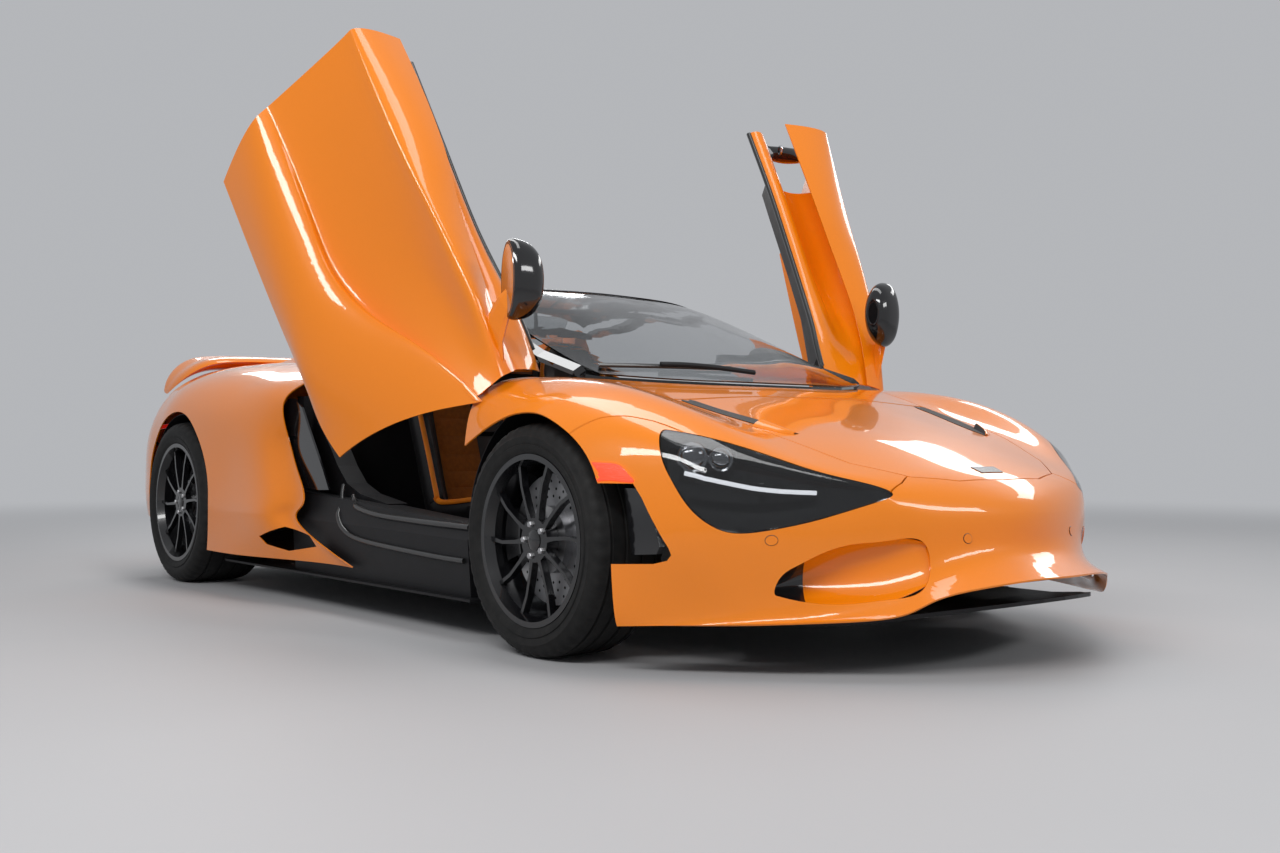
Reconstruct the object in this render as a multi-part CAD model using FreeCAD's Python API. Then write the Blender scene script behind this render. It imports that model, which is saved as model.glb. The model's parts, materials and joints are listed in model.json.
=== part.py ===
import FreeCAD, Part
import math
import os

V = FreeCAD.Vector
os.makedirs("parts", exist_ok=True)

# ---------------------------------------------------------------- main sizes (mm)
LENGTH = 4569.0
HALF_WIDTH = 965.0
ROOF_Z = 1196.0
FRONT_AXLE_X = 1184.5
REAR_AXLE_X = -1485.5
FRONT_TRACK = 1680.0
REAR_TRACK = 1629.0
FRONT_TYRE_R = 327.0
FRONT_TYRE_W = 245.0
REAR_TYRE_R = 345.5
REAR_TYRE_W = 305.0
FRONT_RIM_R = 241.3
REAR_RIM_R = 254.0
FRONT_LINER_CLEAR = 68.0
REAR_ARCH_CLEAR = 46.5
TYRE_CLEAR = 8.0
FRONT_LINER_R = FRONT_TYRE_R + FRONT_LINER_CLEAR
REAR_ARCH_R = REAR_TYRE_R + REAR_ARCH_CLEAR
LINER_BAR_Z = REAR_TYRE_R - 57.5
PANEL_T = 5.0
SEAT_GAP = 0.3
RUN_GAP = 0.3
SHUT_GAP = 4.0
SPOKES = 10
DISC_T = 32.0
FRONT_DISC_R = 185.0
REAR_DISC_R = 190.0
UNDERTRAY_Z = 116.0
UNDERTRAY_T = 8.0
FLOOR_Z = UNDERTRAY_Z + UNDERTRAY_T + SEAT_GAP
FLOOR_TOP = 168.0
RAIL_Y0 = 300.0
RAIL_Y1 = 340.0
RAIL_Z0 = 200.0
RAIL_Z1 = 262.0
REAR_RAIL_Y0 = 330.0
REAR_RAIL_Y1 = 370.0
REAR_RAIL_Z0 = 240.0
REAR_RAIL_Z1 = 300.0
BULKHEAD_X0 = 815.3
BULKHEAD_X1 = 862.0
REAR_WALL_X0 = -560.0
REAR_WALL_X1 = -520.0
FRONT_KINGPIN_IN = 105.0
REAR_KINGPIN_IN = 79.5
KINGPIN_R = 12.0
SPINDLE_R = 30.0
GLASS_T = 5.0

# door hinge: axis line, swing from shut to the raised rest pose
HINGE_POINT = (858.0, 760.0, 713.0)
HINGE_AXIS = (0.168, 0.933, -0.320)
DOOR_SWING = 64.6


# ---------------------------------------------------------------- surface tools
def knots(count, degree):
    inner = count - degree
    values = [float(i) for i in range(inner + 1)]
    mults = [degree + 1] + [1] * (inner - 1) + [degree + 1]
    return values, mults


def greville(count, degree):
    values, mults = knots(count, degree)
    flat = []
    for value, mult in zip(values, mults):
        flat += [value] * mult
    return [sum(flat[i + 1:i + degree + 1]) / degree for i in range(count)]


def poles_surface(poles):
    nu = len(poles)
    nv = len(poles[0])
    du = min(3, nu - 1)
    dv = min(3, nv - 1)
    ku, mu = knots(nu, du)
    kv, mv = knots(nv, dv)
    surface = Part.BSplineSurface()
    surface.buildFromPolesMultsKnots(poles, mu, mv, ku, kv, False, False, du, dv)
    return surface


def fitted_surface(net):
    """Surface through every point of the net."""
    nu = len(net)
    nv = len(net[0])
    gu = greville(nu, min(3, nu - 1))
    gv = greville(nv, min(3, nv - 1))
    goal = [[V(*p) for p in row] for row in net]
    poles = [[V(p) for p in row] for row in goal]
    for _ in range(8):
        surface = poles_surface(poles)
        for i in range(nu):
            for j in range(nv):
                poles[i][j] = poles[i][j] + goal[i][j] - surface.value(gu[i], gv[j])
    return poles_surface(poles), gu, gv


def skin(net, thick):
    """Panel solid: outer surface through the net, wall going inward (right-hand side of the net)."""
    outer, gu, gv = fitted_surface(net)
    inner_net = []
    for u in gu:
        row = []
        for v in gv:
            n = outer.normal(u, v)
            row.append(tuple(outer.value(u, v) - n * thick))
        inner_net.append(row)
    inner = fitted_surface(inner_net)[0]
    u0, u1, v0, v1 = outer.bounds()
    faces = [outer.toShape(), inner.toShape()]
    for curve_of, ends in ((lambda s, t: s.uIso(t), (u0, u1)), (lambda s, t: s.vIso(t), (v0, v1))):
        for t in ends:
            a = curve_of(outer, t).toShape()
            b = curve_of(inner, t).toShape()
            faces.append(Part.makeRuledSurface(a, b))
    shell = Part.makeShell(faces)
    shell.sewShape()
    solid = Part.makeSolid(Part.Shell(shell.Faces))
    if solid.Volume < 0:
        solid.reverse()
    return solid


def mirrored_net(net):
    """Full-width net from its left half; the first column lies on the centre plane."""
    full = []
    for row in net:
        right = [(p[0], -p[1], p[2]) for p in reversed(row[1:])]
        full.append(right + list(row))
    return full


def mirror(shape):
    return shape.mirror(V(0, 0, 0), V(0, 1, 0))


def prism(points, axis, start, end):
    """Prism over a closed outline; axis 'x' takes (y,z), 'y' takes (x,z), 'z' takes (x,y)."""
    if axis == "x":
        corners = [V(start, p[0], p[1]) for p in points]
        along = V(end - start, 0, 0)
    elif axis == "y":
        corners = [V(p[0], start, p[1]) for p in points]
        along = V(0, end - start, 0)
    else:
        corners = [V(p[0], p[1], start) for p in points]
        along = V(0, 0, end - start)
    return Part.Face(Part.makePolygon(corners + [corners[0]])).extrude(along)


def spline_prism(points, axis, start, end):
    """Prism over a smooth closed outline."""
    if axis == "x":
        pts = [V(start, p[0], p[1]) for p in points]
        along = V(end - start, 0, 0)
    elif axis == "y":
        pts = [V(p[0], start, p[1]) for p in points]
        along = V(0, end - start, 0)
    else:
        pts = [V(p[0], p[1], start) for p in points]
        along = V(0, 0, end - start)
    curve = Part.BSplineCurve()
    curve.interpolate(pts, PeriodicFlag=True)
    return Part.Face(Part.Wire(curve.toShape())).extrude(along)


def ribbon(points, axis, start, end, width):
    """Thin cutting wall that follows an open line; used for shut lines."""
    left = []
    right = []
    for i, p in enumerate(points):
        a = points[max(i - 1, 0)]
        b = points[min(i + 1, len(points) - 1)]
        dx = b[0] - a[0]
        dy = b[1] - a[1]
        size = math.hypot(dx, dy)
        nx = -dy / size * width / 2
        ny = dx / size * width / 2
        left.append((p[0] + nx, p[1] + ny))
        right.append((p[0] - nx, p[1] - ny))
    return prism(left + right[::-1], axis, start, end)


def slanted_prism(points, direction, before, after, smooth=False):
    """Prism over a 3-D outline pushed along a direction, from -before to +after."""
    d = V(*direction)
    d.normalize()
    centre = V(0, 0, 0)
    for p in points:
        centre = centre + V(*p)
    centre = centre * (1.0 / len(points))
    flat = []
    for p in points:
        q = V(*p)
        q = q - d * ((q - centre).dot(d)) - d * before
        flat.append(q)
    if smooth:
        curve = Part.BSplineCurve()
        curve.interpolate(flat, PeriodicFlag=True)
        return Part.Face(Part.Wire(curve.toShape())).extrude(d * (before + after))
    return Part.Face(Part.makePolygon(flat + [flat[0]])).extrude(d * (before + after))


def box(x0, x1, y0, y1, z0, z1):
    return Part.makeBox(x1 - x0, y1 - y0, z1 - z0, V(x0, y0, z0))


def cyl_y(x, z, r, y0, y1):
    return Part.makeCylinder(r, y1 - y0, V(x, y0, z), V(0, 1, 0))


def tube_y(x, z, outer, inner, y0, y1):
    return cyl_y(x, z, outer, y0, y1).cut(cyl_y(x, z, inner, y0 - 1, y1 + 1))


def rod(a, b, r):
    a = V(*a)
    b = V(*b)
    return Part.makeCylinder(r, (b - a).Length, a, b - a)


def loft(sections):
    wires = [Part.makePolygon([V(*p) for p in s] + [V(*s[0])]) for s in sections]
    return Part.makeLoft(wires, True, True)


def fuse(shapes):
    result = shapes[0]
    for s in shapes[1:]:
        result = result.fuse(s)
    return result.removeSplitter()


def first_hit(start, direction, shape, reach=1500.0):
    """Distance from a point to the first surface of a shape along a direction."""
    d = V(*direction)
    d.normalize()
    p = V(*start)
    line = Part.makeLine(p, p + d * reach)
    inside = line.common(shape)
    if not inside.Vertexes:
        raise ValueError("no surface on the way from %s" % (start,))
    return min((v.Point - p).dot(d) for v in inside.Vertexes)


def strut(start, direction, size, target):
    """Square bar from a point to just short of a panel: the seat that carries the panel."""
    d = V(*direction)
    d.normalize()
    side = d.cross(V(0, 0, 1))
    if side.Length < 0.1:
        side = V(0, 1, 0)
    side.normalize()
    up = side.cross(d)
    h = size / 2.0
    p = V(*start)
    corners = [p + side * h + up * h, p - side * h + up * h, p - side * h - up * h, p + side * h - up * h]
    length = min(first_hit(tuple(c), direction, target) for c in corners + [p]) - SEAT_GAP
    return Part.Face(Part.makePolygon(corners + [corners[0]])).extrude(d * length)


def nearest_solid(shape, point):
    return min(shape.Solids, key=lambda s: (s.CenterOfMass - V(*point)).Length)


def largest(shape, count=1):
    solids = sorted(shape.Solids, key=lambda s: -s.Volume)
    return solids[:count]


def save(name, solids):
    if not isinstance(solids, (list, tuple)):
        solids = [solids]
    flat = []
    for s in solids:
        flat += s.Solids
    out = flat[0] if len(flat) == 1 else Part.makeCompound(flat)
    out.exportStep("parts/" + name + ".step")
    b = out.BoundBox
    print(name, len(flat), "valid" if out.isValid() else "INVALID",
          "x %.0f %.0f y %.0f %.0f z %.0f %.0f" % (b.XMin, b.XMax, b.YMin, b.YMax, b.ZMin, b.ZMax))


# ---------------------------------------------------------------- front body surface
# rows run from the lip edge back to the cowl; columns from the centre line out to the arch
FRONT_NET = [
    [(2284.5, 0, 250), (2270, 125, 249), (2226, 250, 237), (2150, 378, 208), (2092, 458, 166),
     (1990, 575, 150), (1880, 680, 142), (1740, 805, 136), (1563, 937, 131)],
    [(2215, 0, 275), (2203, 145, 273), (2148, 288, 260), (2082, 396, 236), (2030, 478, 205),
     (1948, 585, 182), (1845, 695, 175), (1722, 815, 170), (1563, 947, 172)],
    [(2162, 0, 325), (2145, 160, 323), (2098, 315, 318), (2034, 440, 310), (1965, 550, 300),
     (1885, 665, 297), (1796, 768, 295), (1695, 868, 290), (1562, 955, 288)],
    [(2150, 0, 410), (2130, 168, 410), (2086, 330, 408), (2030, 448, 408), (1960, 560, 412),
     (1880, 675, 422), (1790, 782, 432), (1688, 878, 425), (1553, 959, 395)],
    [(2082, 0, 486), (2070, 178, 485), (2036, 340, 484), (1985, 478, 490), (1895, 600, 508),
     (1820, 705, 525), (1748, 798, 532), (1648, 884, 524), (1515, 961, 492)],
    [(1950, 0, 545), (1942, 190, 545), (1912, 370, 541), (1850, 525, 552), (1785, 652, 580),
     (1730, 745, 594), (1670, 825, 596), (1590, 893, 588), (1470, 962, 562)],
    [(1750, 0, 617), (1745, 200, 617), (1730, 400, 610), (1680, 570, 625), (1620, 700, 665),
     (1575, 790, 670), (1535, 855, 660), (1475, 915, 645), (1400, 965, 618)],
    [(1500, 0, 690), (1500, 210, 690), (1490, 420, 682), (1440, 590, 697), (1400, 725, 738),
     (1375, 820, 734), (1350, 885, 714), (1325, 930, 692), (1300, 967, 664)],
    [(1340, 0, 738), (1335, 215, 738), (1310, 430, 736), (1235, 600, 752), (1190, 742, 776),
     (1184, 835, 764), (1184, 900, 740), (1184, 942, 712), (1184, 968, 680)],
    [(1260, 0, 760), (1250, 215, 760), (1200, 435, 763), (1110, 615, 778), (1040, 750, 788),
     (1020, 840, 774), (1015, 900, 740), (1015, 940, 695), (1020, 966, 648)],
    [(1215, 0, 772), (1195, 215, 773), (1135, 435, 778), (1000, 640, 792), (885, 752, 794),
     (862, 830, 780), (858, 893, 742), (862, 938, 680), (875, 961, 590)],
]
BONNET_OUTLINE = [(2072, 0), (2060, 180), (2010, 320), (1900, 430), (1720, 505), (1500, 545), (1345, 560)]
BONNET_REAR_GAP = 10.0
BODY_SEAM = [(1370, 1000), (1410, 957), (1460, 910), (1520, 865), (1580, 832), (1640, 806), (1720, 770)]
TIP_SEAM = [(1975, 525), (2030, 425), (2022, 370), (2000, 315)]
COWL_SEAM = [(1400, 556), (1345, 560), (1200, 590), (1080, 640), (960, 660)]
HEADLAMP_OUTLINE = [(1602, 800, 613), (1700, 735, 600), (1830, 635, 562), (1950, 520, 512), (2040, 425, 470),
                    (2005, 520, 440), (1940, 620, 405), (1860, 720, 378), (1790, 785, 375), (1720, 820, 410),
                    (1660, 835, 480), (1612, 832, 560)]
HEADLAMP_AIM = (0.62, 0.62, 0.48)
SCOOP_STATIONS = [
    # x, y, lower z, upper z, depth of the recess behind the skin
    (1893, 690, 214, 246, 78),
    (1926, 652, 202, 290, 74),
    (1965, 605, 194, 320, 64),
    (2010, 545, 194, 342, 50),
    (2060, 470, 204, 350, 32),
    (2110, 380, 240, 344, 12),
]
SCOOP_AIM = (0.75, 0.62, 0.0)
SCOOP_EDGE = 11.0
ARCH_VENT_OUTLINE = [(1440, 494), (1606, 494), (1632, 458), (1668, 392), (1696, 334), (1700, 316), (1690, 301),
                     (1660, 292), (1542, 288), (1440, 286)]

front_skin = skin(mirrored_net(FRONT_NET), PANEL_T)


def both_sides(points):
    return [(p[0], -p[1]) for p in points[::-1]] + list(points[1:])


def grown(points, amount):
    """Plan outline pushed outward from its middle by a small amount."""
    cx = sum(p[0] for p in points) / len(points)
    cy = sum(p[1] for p in points) / len(points)
    out = []
    for p in points:
        d = math.hypot(p[0] - cx, p[1] - cy)
        out.append((p[0] + (p[0] - cx) / d * amount, p[1] + (p[1] - cy) / d * amount))
    return out


def grown3(points, amount):
    n = float(len(points))
    c = [sum(p[k] for p in points) / n for k in range(3)]
    out = []
    for p in points:
        d = math.sqrt(sum((p[k] - c[k]) ** 2 for k in range(3)))
        out.append(tuple(p[k] + (p[k] - c[k]) / d * amount for k in range(3)))
    return out


half_gap = SHUT_GAP / 2
bonnet_edge = both_sides(BONNET_OUTLINE)
bonnet_hole = prism(grown(bonnet_edge, half_gap), "z", 420, 1000)
bonnet_core = prism(grown(bonnet_edge, -half_gap), "z", 420, 1000)
bonnet_rear_x = BONNET_OUTLINE[-1][0]
bonnet_core = bonnet_core.cut(box(0, bonnet_rear_x + BONNET_REAR_GAP, -900, 900, 0, 1200))
bonnet = largest(front_skin.common(bonnet_core))[0]
rest = front_skin.cut(bonnet_hole)
lamp_hole = slanted_prism(HEADLAMP_OUTLINE, HEADLAMP_AIM, 150, 150, True)
lamp_core = slanted_prism(grown3(HEADLAMP_OUTLINE, -SHUT_GAP), HEADLAMP_AIM, 150, 150, True)
scoop_outline = [(s[0], s[1], s[2]) for s in SCOOP_STATIONS] + [(s[0], s[1], s[3]) for s in SCOOP_STATIONS[::-1]]
scoop_hole = slanted_prism(scoop_outline, SCOOP_AIM, 110, 160, True)
vent_hole = prism(ARCH_VENT_OUTLINE, "y", 820, 1000)
cutters = [lamp_hole, scoop_hole, vent_hole, ribbon(BODY_SEAM, "z", 400, 900, SHUT_GAP),
           ribbon(TIP_SEAM, "z", 400, 900, SHUT_GAP),
           ribbon(COWL_SEAM, "z", 700, 900, SHUT_GAP)]
for c in cutters:
    rest = rest.cut(c).cut(mirror(c))
pieces = largest(rest, 4)
front_bumper = pieces[0]
tyre_room = cyl_y(FRONT_AXLE_X, FRONT_TYRE_R, FRONT_TYRE_R + TYRE_CLEAR, -963, 963)
fenders = [largest(p.cut(tyre_room))[0] for p in sorted(pieces[1:3], key=lambda p: -p.CenterOfMass.y)]
fender_left = fenders[0]
cowl_panel = pieces[3]
aim = V(*SCOOP_AIM)
aim.normalize()
scoop_net = []
for sx, sy, z_low, z_high, depth in SCOOP_STATIONS[1:]:
    row = []
    for share, sink in ((-0.05, 0.2), (0.12, 0.6), (0.35, 0.95), (0.65, 0.95), (0.9, 0.55), (1.12, 0.0)):
        start = V(sx, sy, z_low + share * (z_high - z_low)) + aim * 300
        reach = first_hit(tuple(start), (-SCOOP_AIM[0], -SCOOP_AIM[1], 0), front_skin)
        row.append(tuple(start - aim * (reach + SCOOP_EDGE + depth * sink)))
    scoop_net.append(row)
scoop_panel = skin(scoop_net, 3.0)
scoop_seats = []
for row in scoop_net[1:3]:
    p = V(*row[-1]) * 0.8 + V(*row[-2]) * 0.2 - aim * 1.5
    scoop_seats.append(strut(tuple(p), SCOOP_AIM, 5, front_bumper))
scoop_panel = largest(fuse([scoop_panel] + scoop_seats))[0]
lens_left = largest(front_skin.common(lamp_core))[0]
pod_left = slanted_prism(grown3(HEADLAMP_OUTLINE, -16), HEADLAMP_AIM, 90, -40, True)
lens_post = strut((1783, 638, 458), HEADLAMP_AIM, 12, lens_left)
pod_left = pod_left.fuse(lens_post)
vent_panel = prism([(1530, 480), (1620, 480), (1672, 335), (1660, 316), (1560, 308)], "y", 868, 888)
vent_panel = vent_panel.fuse(box(1594, 1606, 872, 884, 470, 512))
vent_panel = vent_panel.fuse(strut((1600, 878, 505), (0, 1, 0), 12, front_bumper))

# ---------------------------------------------------------------- rear quarter surface (left)
# rows run from the intake edge back to the tail; columns from the deck edge down to the sill
QUARTER_NET = [
    [(-458, 560, 925), (-458, 680, 895), (-464, 790, 850), (-520, 882, 782), (-517, 900, 690), (-490, 884, 590),
     (-413, 890, 490), (-351, 902, 366), (-321, 906, 280), (27, 890, 168)],
    [(-515, 558, 926), (-515, 679, 896), (-520, 790, 852), (-565, 885, 786), (-560, 912, 690), (-535, 896, 590),
     (-470, 900, 488), (-420, 912, 370), (-400, 914, 280), (-140, 884, 167)],
    [(-640, 552, 932), (-640, 675, 902), (-645, 788, 860), (-670, 890, 800), (-660, 930, 690), (-630, 934, 590),
     (-580, 944, 482), (-525, 960, 372), (-505, 960, 277), (-455, 916, 166)],
    [(-900, 545, 942), (-900, 662, 918), (-900, 778, 880), (-905, 890, 812), (-900, 946, 700), (-890, 950, 590),
     (-875, 952, 480), (-860, 962, 380), (-850, 962, 275), (-830, 950, 160)],
    [(-1150, 538, 950), (-1150, 650, 933), (-1150, 770, 902), (-1150, 888, 832), (-1150, 952, 715),
     (-1150, 962, 600), (-1150, 963, 490), (-1150, 965, 390), (-1150, 963, 275), (-1150, 950, 160)],
    [(-1400, 528, 957), (-1400, 640, 943), (-1400, 760, 914), (-1400, 880, 848), (-1400, 948, 740),
     (-1400, 964, 620), (-1400, 966, 500), (-1400, 966, 390), (-1400, 963, 280), (-1400, 948, 165)],
    [(-1620, 518, 960), (-1620, 630, 946), (-1620, 748, 914), (-1620, 868, 846), (-1620, 940, 742),
     (-1620, 958, 620), (-1620, 960, 510), (-1620, 959, 400), (-1620, 955, 300), (-1620, 942, 190)],
    [(-1800, 512, 958), (-1800, 620, 942), (-1800, 735, 905), (-1805, 850, 828), (-1810, 916, 715),
     (-1810, 937, 610), (-1810, 941, 510), (-1810, 940, 410), (-1810, 936, 320), (-1810, 925, 220)],
    [(-1980, 506, 948), (-1980, 608, 930), (-1980, 715, 890), (-1990, 820, 806), (-1990, 882, 690),
     (-1990, 905, 590), (-1990, 909, 500), (-1990, 909, 420), (-1990, 906, 330), (-1990, 895, 250)],
    [(-2180, 500, 924), (-2175, 590, 904), (-2165, 680, 860), (-2160, 760, 790), (-2150, 822, 690),
     (-2150, 845, 600), (-2150, 854, 510), (-2146, 858, 430), (-2140, 857, 350), (-2130, 850, 285)],
]
SIDE_LAMP_OUTLINE = [(-2126, 566), (-2132, 704), (-2106, 712), (-2100, 570)]
REAR_LAMP_OUTLINE = [(570, 706), (790, 668), (790, 686), (570, 728)]
LOW_VENT_OUTLINE = [(-600, 245), (-436, 288), (-280, 262), (-235, 224), (-417, 198), (-560, 217)]
quarter_skin = skin(QUARTER_NET, PANEL_T)
arch_hole = cyl_y(REAR_AXLE_X, REAR_TYRE_R, REAR_ARCH_R, 600, 1100)
behind_wheel = prism([(REAR_AXLE_X, 100), (REAR_AXLE_X, 345), (-1860, 345), (-1905, 262), (-2300, 300),
                      (-2300, 100)], "y", 700, 1100)
quarter = quarter_skin.cut(prism(LOW_VENT_OUTLINE, "y", 880, 1000)).cut(arch_hole).cut(behind_wheel)
quarter = quarter.cut(prism(grown(SIDE_LAMP_OUTLINE, 3), "y", 780, 950))
quarter_left = largest(quarter)[0]
side_lamp = quarter_skin.common(prism(SIDE_LAMP_OUTLINE, "y", 780, 950))

# tail face: rows down from the deck edge, columns from the centre out to the corner
TAIL_NET = [
    [(-2184, 0, 923), (-2184, 250, 923), (-2184, 496, 920), (-2179, 586, 900), (-2169, 676, 856), (-2164, 756, 786)],
    [(-2245, 0, 872), (-2243, 250, 872), (-2235, 480, 866), (-2220, 580, 845), (-2200, 680, 805), (-2172, 780, 735)],
    [(-2275, 0, 770), (-2273, 250, 770), (-2258, 480, 762), (-2235, 600, 745), (-2200, 720, 710),
     (-2158, 824, 665)],
    [(-2258, 0, 610), (-2256, 250, 610), (-2238, 490, 606), (-2212, 620, 598), (-2182, 740, 580),
     (-2155, 846, 545)],
    [(-2246, 0, 460), (-2244, 250, 460), (-2226, 490, 458), (-2202, 620, 450), (-2175, 750, 435),
     (-2149, 852, 405)],
    [(-2238, 0, 335), (-2236, 250, 335), (-2216, 490, 330), (-2192, 620, 322), (-2166, 750, 310),
     (-2138, 846, 292)],
]
TIP_X = -2080.0
TIP_Y = 95.0
TIP_Z = 545.0
TIP_R = 52.0
tail = skin(mirrored_net(TAIL_NET), PANEL_T)
tip_hole = Part.makeCylinder(TIP_R + 7, 400, V(-2050, TIP_Y, TIP_Z), V(-1, 0, 0))
tail = tail.cut(tip_hole).cut(mirror(tip_hole))
rear_lamp = tail.common(prism(REAR_LAMP_OUTLINE, "x", -2300, -2150))
rear_lamp_hole = prism(grown(REAR_LAMP_OUTLINE, 3), "x", -2300, -2150)
tail = tail.cut(rear_lamp_hole).cut(mirror(rear_lamp_hole))
rear_lamp = rear_lamp.fuse(box(-2231, -2212, 540, 590, 708, 720))
rear_lamp = largest(rear_lamp.fuse(strut((-2215, 552, 714), (-1, 0, 0), 8, tail)))[0]

# ---------------------------------------------------------------- deck with buttresses, wing
DECK_NET = [
    [(-520, 0, 962), (-520, 250, 960), (-520, 480, 945), (-520, 552, 928)],
    [(-900, 0, 985), (-900, 250, 980), (-900, 450, 966), (-900, 539, 944)],
    [(-1400, 0, 985), (-1400, 240, 980), (-1400, 440, 968), (-1400, 522, 958)],
    [(-1900, 0, 965), (-1900, 240, 962), (-1900, 420, 957), (-1900, 502, 952)],
    [(-2178, 0, 932), (-2178, 240, 932), (-2178, 420, 930), (-2176, 494, 924)],
]
BUTTRESS_SECTIONS = [
    # x, inner foot y, ridge y, outer foot y, ridge z, foot z
    (-470, 400, 470, 548, 1100, 930),
    (-900, 430, 470, 534, 1035, 948),
    (-1500, 450, 472, 510, 968, 958),
]
deck = skin(mirrored_net(DECK_NET), PANEL_T)
buttress = loft([[(x, y0, z0), (x, y1 - 8, z1), (x, y1 + 14, z1 - 4), (x, y2, z0)]
                 for x, y0, y1, y2, z1, z0 in BUTTRESS_SECTIONS])
deck = deck.fuse(buttress).fuse(mirror(buttress))
deck = largest(deck)[0]
WING_HINGE_X = -1975.0
WING_HINGE_Z = 983.0
WING_HINGE_R = 6.0
WING_POST_Y = 350.0
WING_SECTIONS = [
    # y, leading x, trailing x, height, thickness, depth of the underside
    (748, -2150, -2225, 852, 12, 10),
    (735, -2095, -2236, 882, 22, 18),
    (700, -2025, -2242, 930, 28, 28),
    (630, -1965, -2246, 975, 32, 34),
    (500, -1938, -2249, 996, 34, 36),
    (250, -1932, -2251, 1001, 35, 36),
    (0, -1930, -2252, 1002, 36, 36),
]


def wing_section(y, lead, trail, z, thick, deep):
    chord = lead - trail
    points = [(lead, y, z), (lead - 0.08 * chord, y, z + 0.45 * thick), (lead - 0.30 * chord, y, z + 0.75 * thick),
              (lead - 0.65 * chord, y, z + 0.85 * thick), (trail, y, z + 0.75 * thick),
              (trail + 0.02 * chord, y, z + 0.35 * thick), (lead - 0.75 * chord, y, z - 0.6 * deep),
              (lead - 0.40 * chord, y, z - 0.95 * deep), (lead - 0.18 * chord, y, z - 0.55 * deep),
              (lead - 0.05 * chord, y, z - 0.18 * deep)]
    curve = Part.BSplineCurve()
    curve.interpolate([V(*p) for p in points], PeriodicFlag=True)
    return Part.Wire(curve.toShape())


wing_rows = [(-s[0],) + s[1:] for s in WING_SECTIONS] + WING_SECTIONS[-2::-1]
wing = Part.makeLoft([wing_section(*s) for s in wing_rows], True, False)
wing_lug = box(WING_HINGE_X - 12, WING_HINGE_X + 12, WING_POST_Y - 10, WING_POST_Y + 10, WING_HINGE_Z - 12, 1000)
wing_lug = wing_lug.cut(cyl_y(WING_HINGE_X, WING_HINGE_Z, WING_HINGE_R + RUN_GAP, 300, 400))
wing_bore = cyl_y(WING_HINGE_X, WING_HINGE_Z, WING_HINGE_R + 6, WING_POST_Y - 30, WING_POST_Y + 30)
wing = wing.cut(wing_bore.fuse(mirror(wing_bore))).fuse(wing_lug).fuse(mirror(wing_lug))
wing = largest(wing)[0]
wing_posts = []
for post_y in (WING_POST_Y - 16, WING_POST_Y + 16):
    wing_posts.append(box(WING_HINGE_X - 10, WING_HINGE_X + 10, post_y - 5, post_y + 5, 950, WING_HINGE_Z + 2))
wing_posts.append(cyl_y(WING_HINGE_X, WING_HINGE_Z, WING_HINGE_R, WING_POST_Y - 18, WING_POST_Y + 18))
for p in wing_posts:
    deck = deck.fuse(p).fuse(mirror(p))
deck = largest(deck)[0]

# ---------------------------------------------------------------- greenhouse
SCREEN_NET = [
    [(1205, 0, 788), (1190, 200, 789), (1130, 420, 794), (1040, 590, 806)],
    [(960, 0, 905), (945, 200, 904), (895, 430, 900), (805, 592, 892)],
    [(620, 0, 1050), (610, 210, 1047), (575, 430, 1036), (505, 572, 1015)],
    [(305, 0, 1150), (300, 220, 1146), (285, 430, 1132), (250, 540, 1108)],
]
ROOF_NET = [
    [(285, 0, 1160), (280, 220, 1156), (266, 420, 1142), (240, 530, 1120)],
    [(100, 0, 1186), (98, 220, 1182), (92, 420, 1168), (80, 532, 1142)],
    [(-100, 0, 1196), (-100, 220, 1192), (-105, 410, 1176), (-110, 518, 1148)],
    [(-300, 0, 1186), (-300, 220, 1182), (-305, 395, 1166), (-310, 492, 1138)],
    [(-440, 0, 1160), (-440, 220, 1155), (-440, 380, 1140), (-440, 470, 1112)],
]
PILLAR_PATH = [
    # x, inner y, top z, width, depth
    (990, 601, 834, 44, 32),
    (800, 603, 890, 44, 34),
    (500, 583, 1012, 42, 34),
    (240, 548, 1110, 40, 34),
    (-110, 530, 1134, 40, 34),
    (-440, 480, 1098, 40, 34),
]
windscreen = skin(mirrored_net(SCREEN_NET), GLASS_T)
roof = skin(mirrored_net(ROOF_NET), PANEL_T)
pillar = loft([[(x, y, z - d / 2), (x, y + w, z - d), (x, y + w + 8, z - d / 2), (x, y + w / 2, z + 2)]
               for x, y, z, w, d in PILLAR_PATH])
header = prism([(212, 1078), (240, 1084), (232, 1098), (210, 1096)], "y", -570, 570)
rear_hoop = box(-470, -420, -500, 500, 1050, 1086)
pillar_foot = box(950, 990, 602, 640, 640, 815)
BASE_PATH = [(980, 612, 812), (1022, 585, 803), (1112, 420, 793), (1172, 200, 787), (1187, 0, 786)]
BASE_T = 12.0
base_half = loft([[(x, y, 745), (x - BASE_T, y, 745), (x - BASE_T, y, z), (x, y, z)] for x, y, z in BASE_PATH])
screen_base = fuse([base_half, mirror(base_half)])
frame_parts = fuse([pillar, mirror(pillar), screen_base, header, rear_hoop, pillar_foot, mirror(pillar_foot)])
screen_strut = strut((226, 200, 1090), (1, 0, 0.5), 8, windscreen)
roof_strut = strut((-428, 200, 1070), (0, 0, 1), 12, roof)
windscreen_frame = fuse([frame_parts, screen_strut, mirror(screen_strut), roof_strut, mirror(roof_strut)])
rear_window = prism([(-452, 1146), (-457, 1146), (-536, 975), (-531, 975)], "y", -392, 392)
windscreen_frame = windscreen_frame.fuse(strut((-460, 100, 1070), (-1, 0, 0), 12, rear_window))
windscreen_frame = largest(windscreen_frame)[0]

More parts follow.
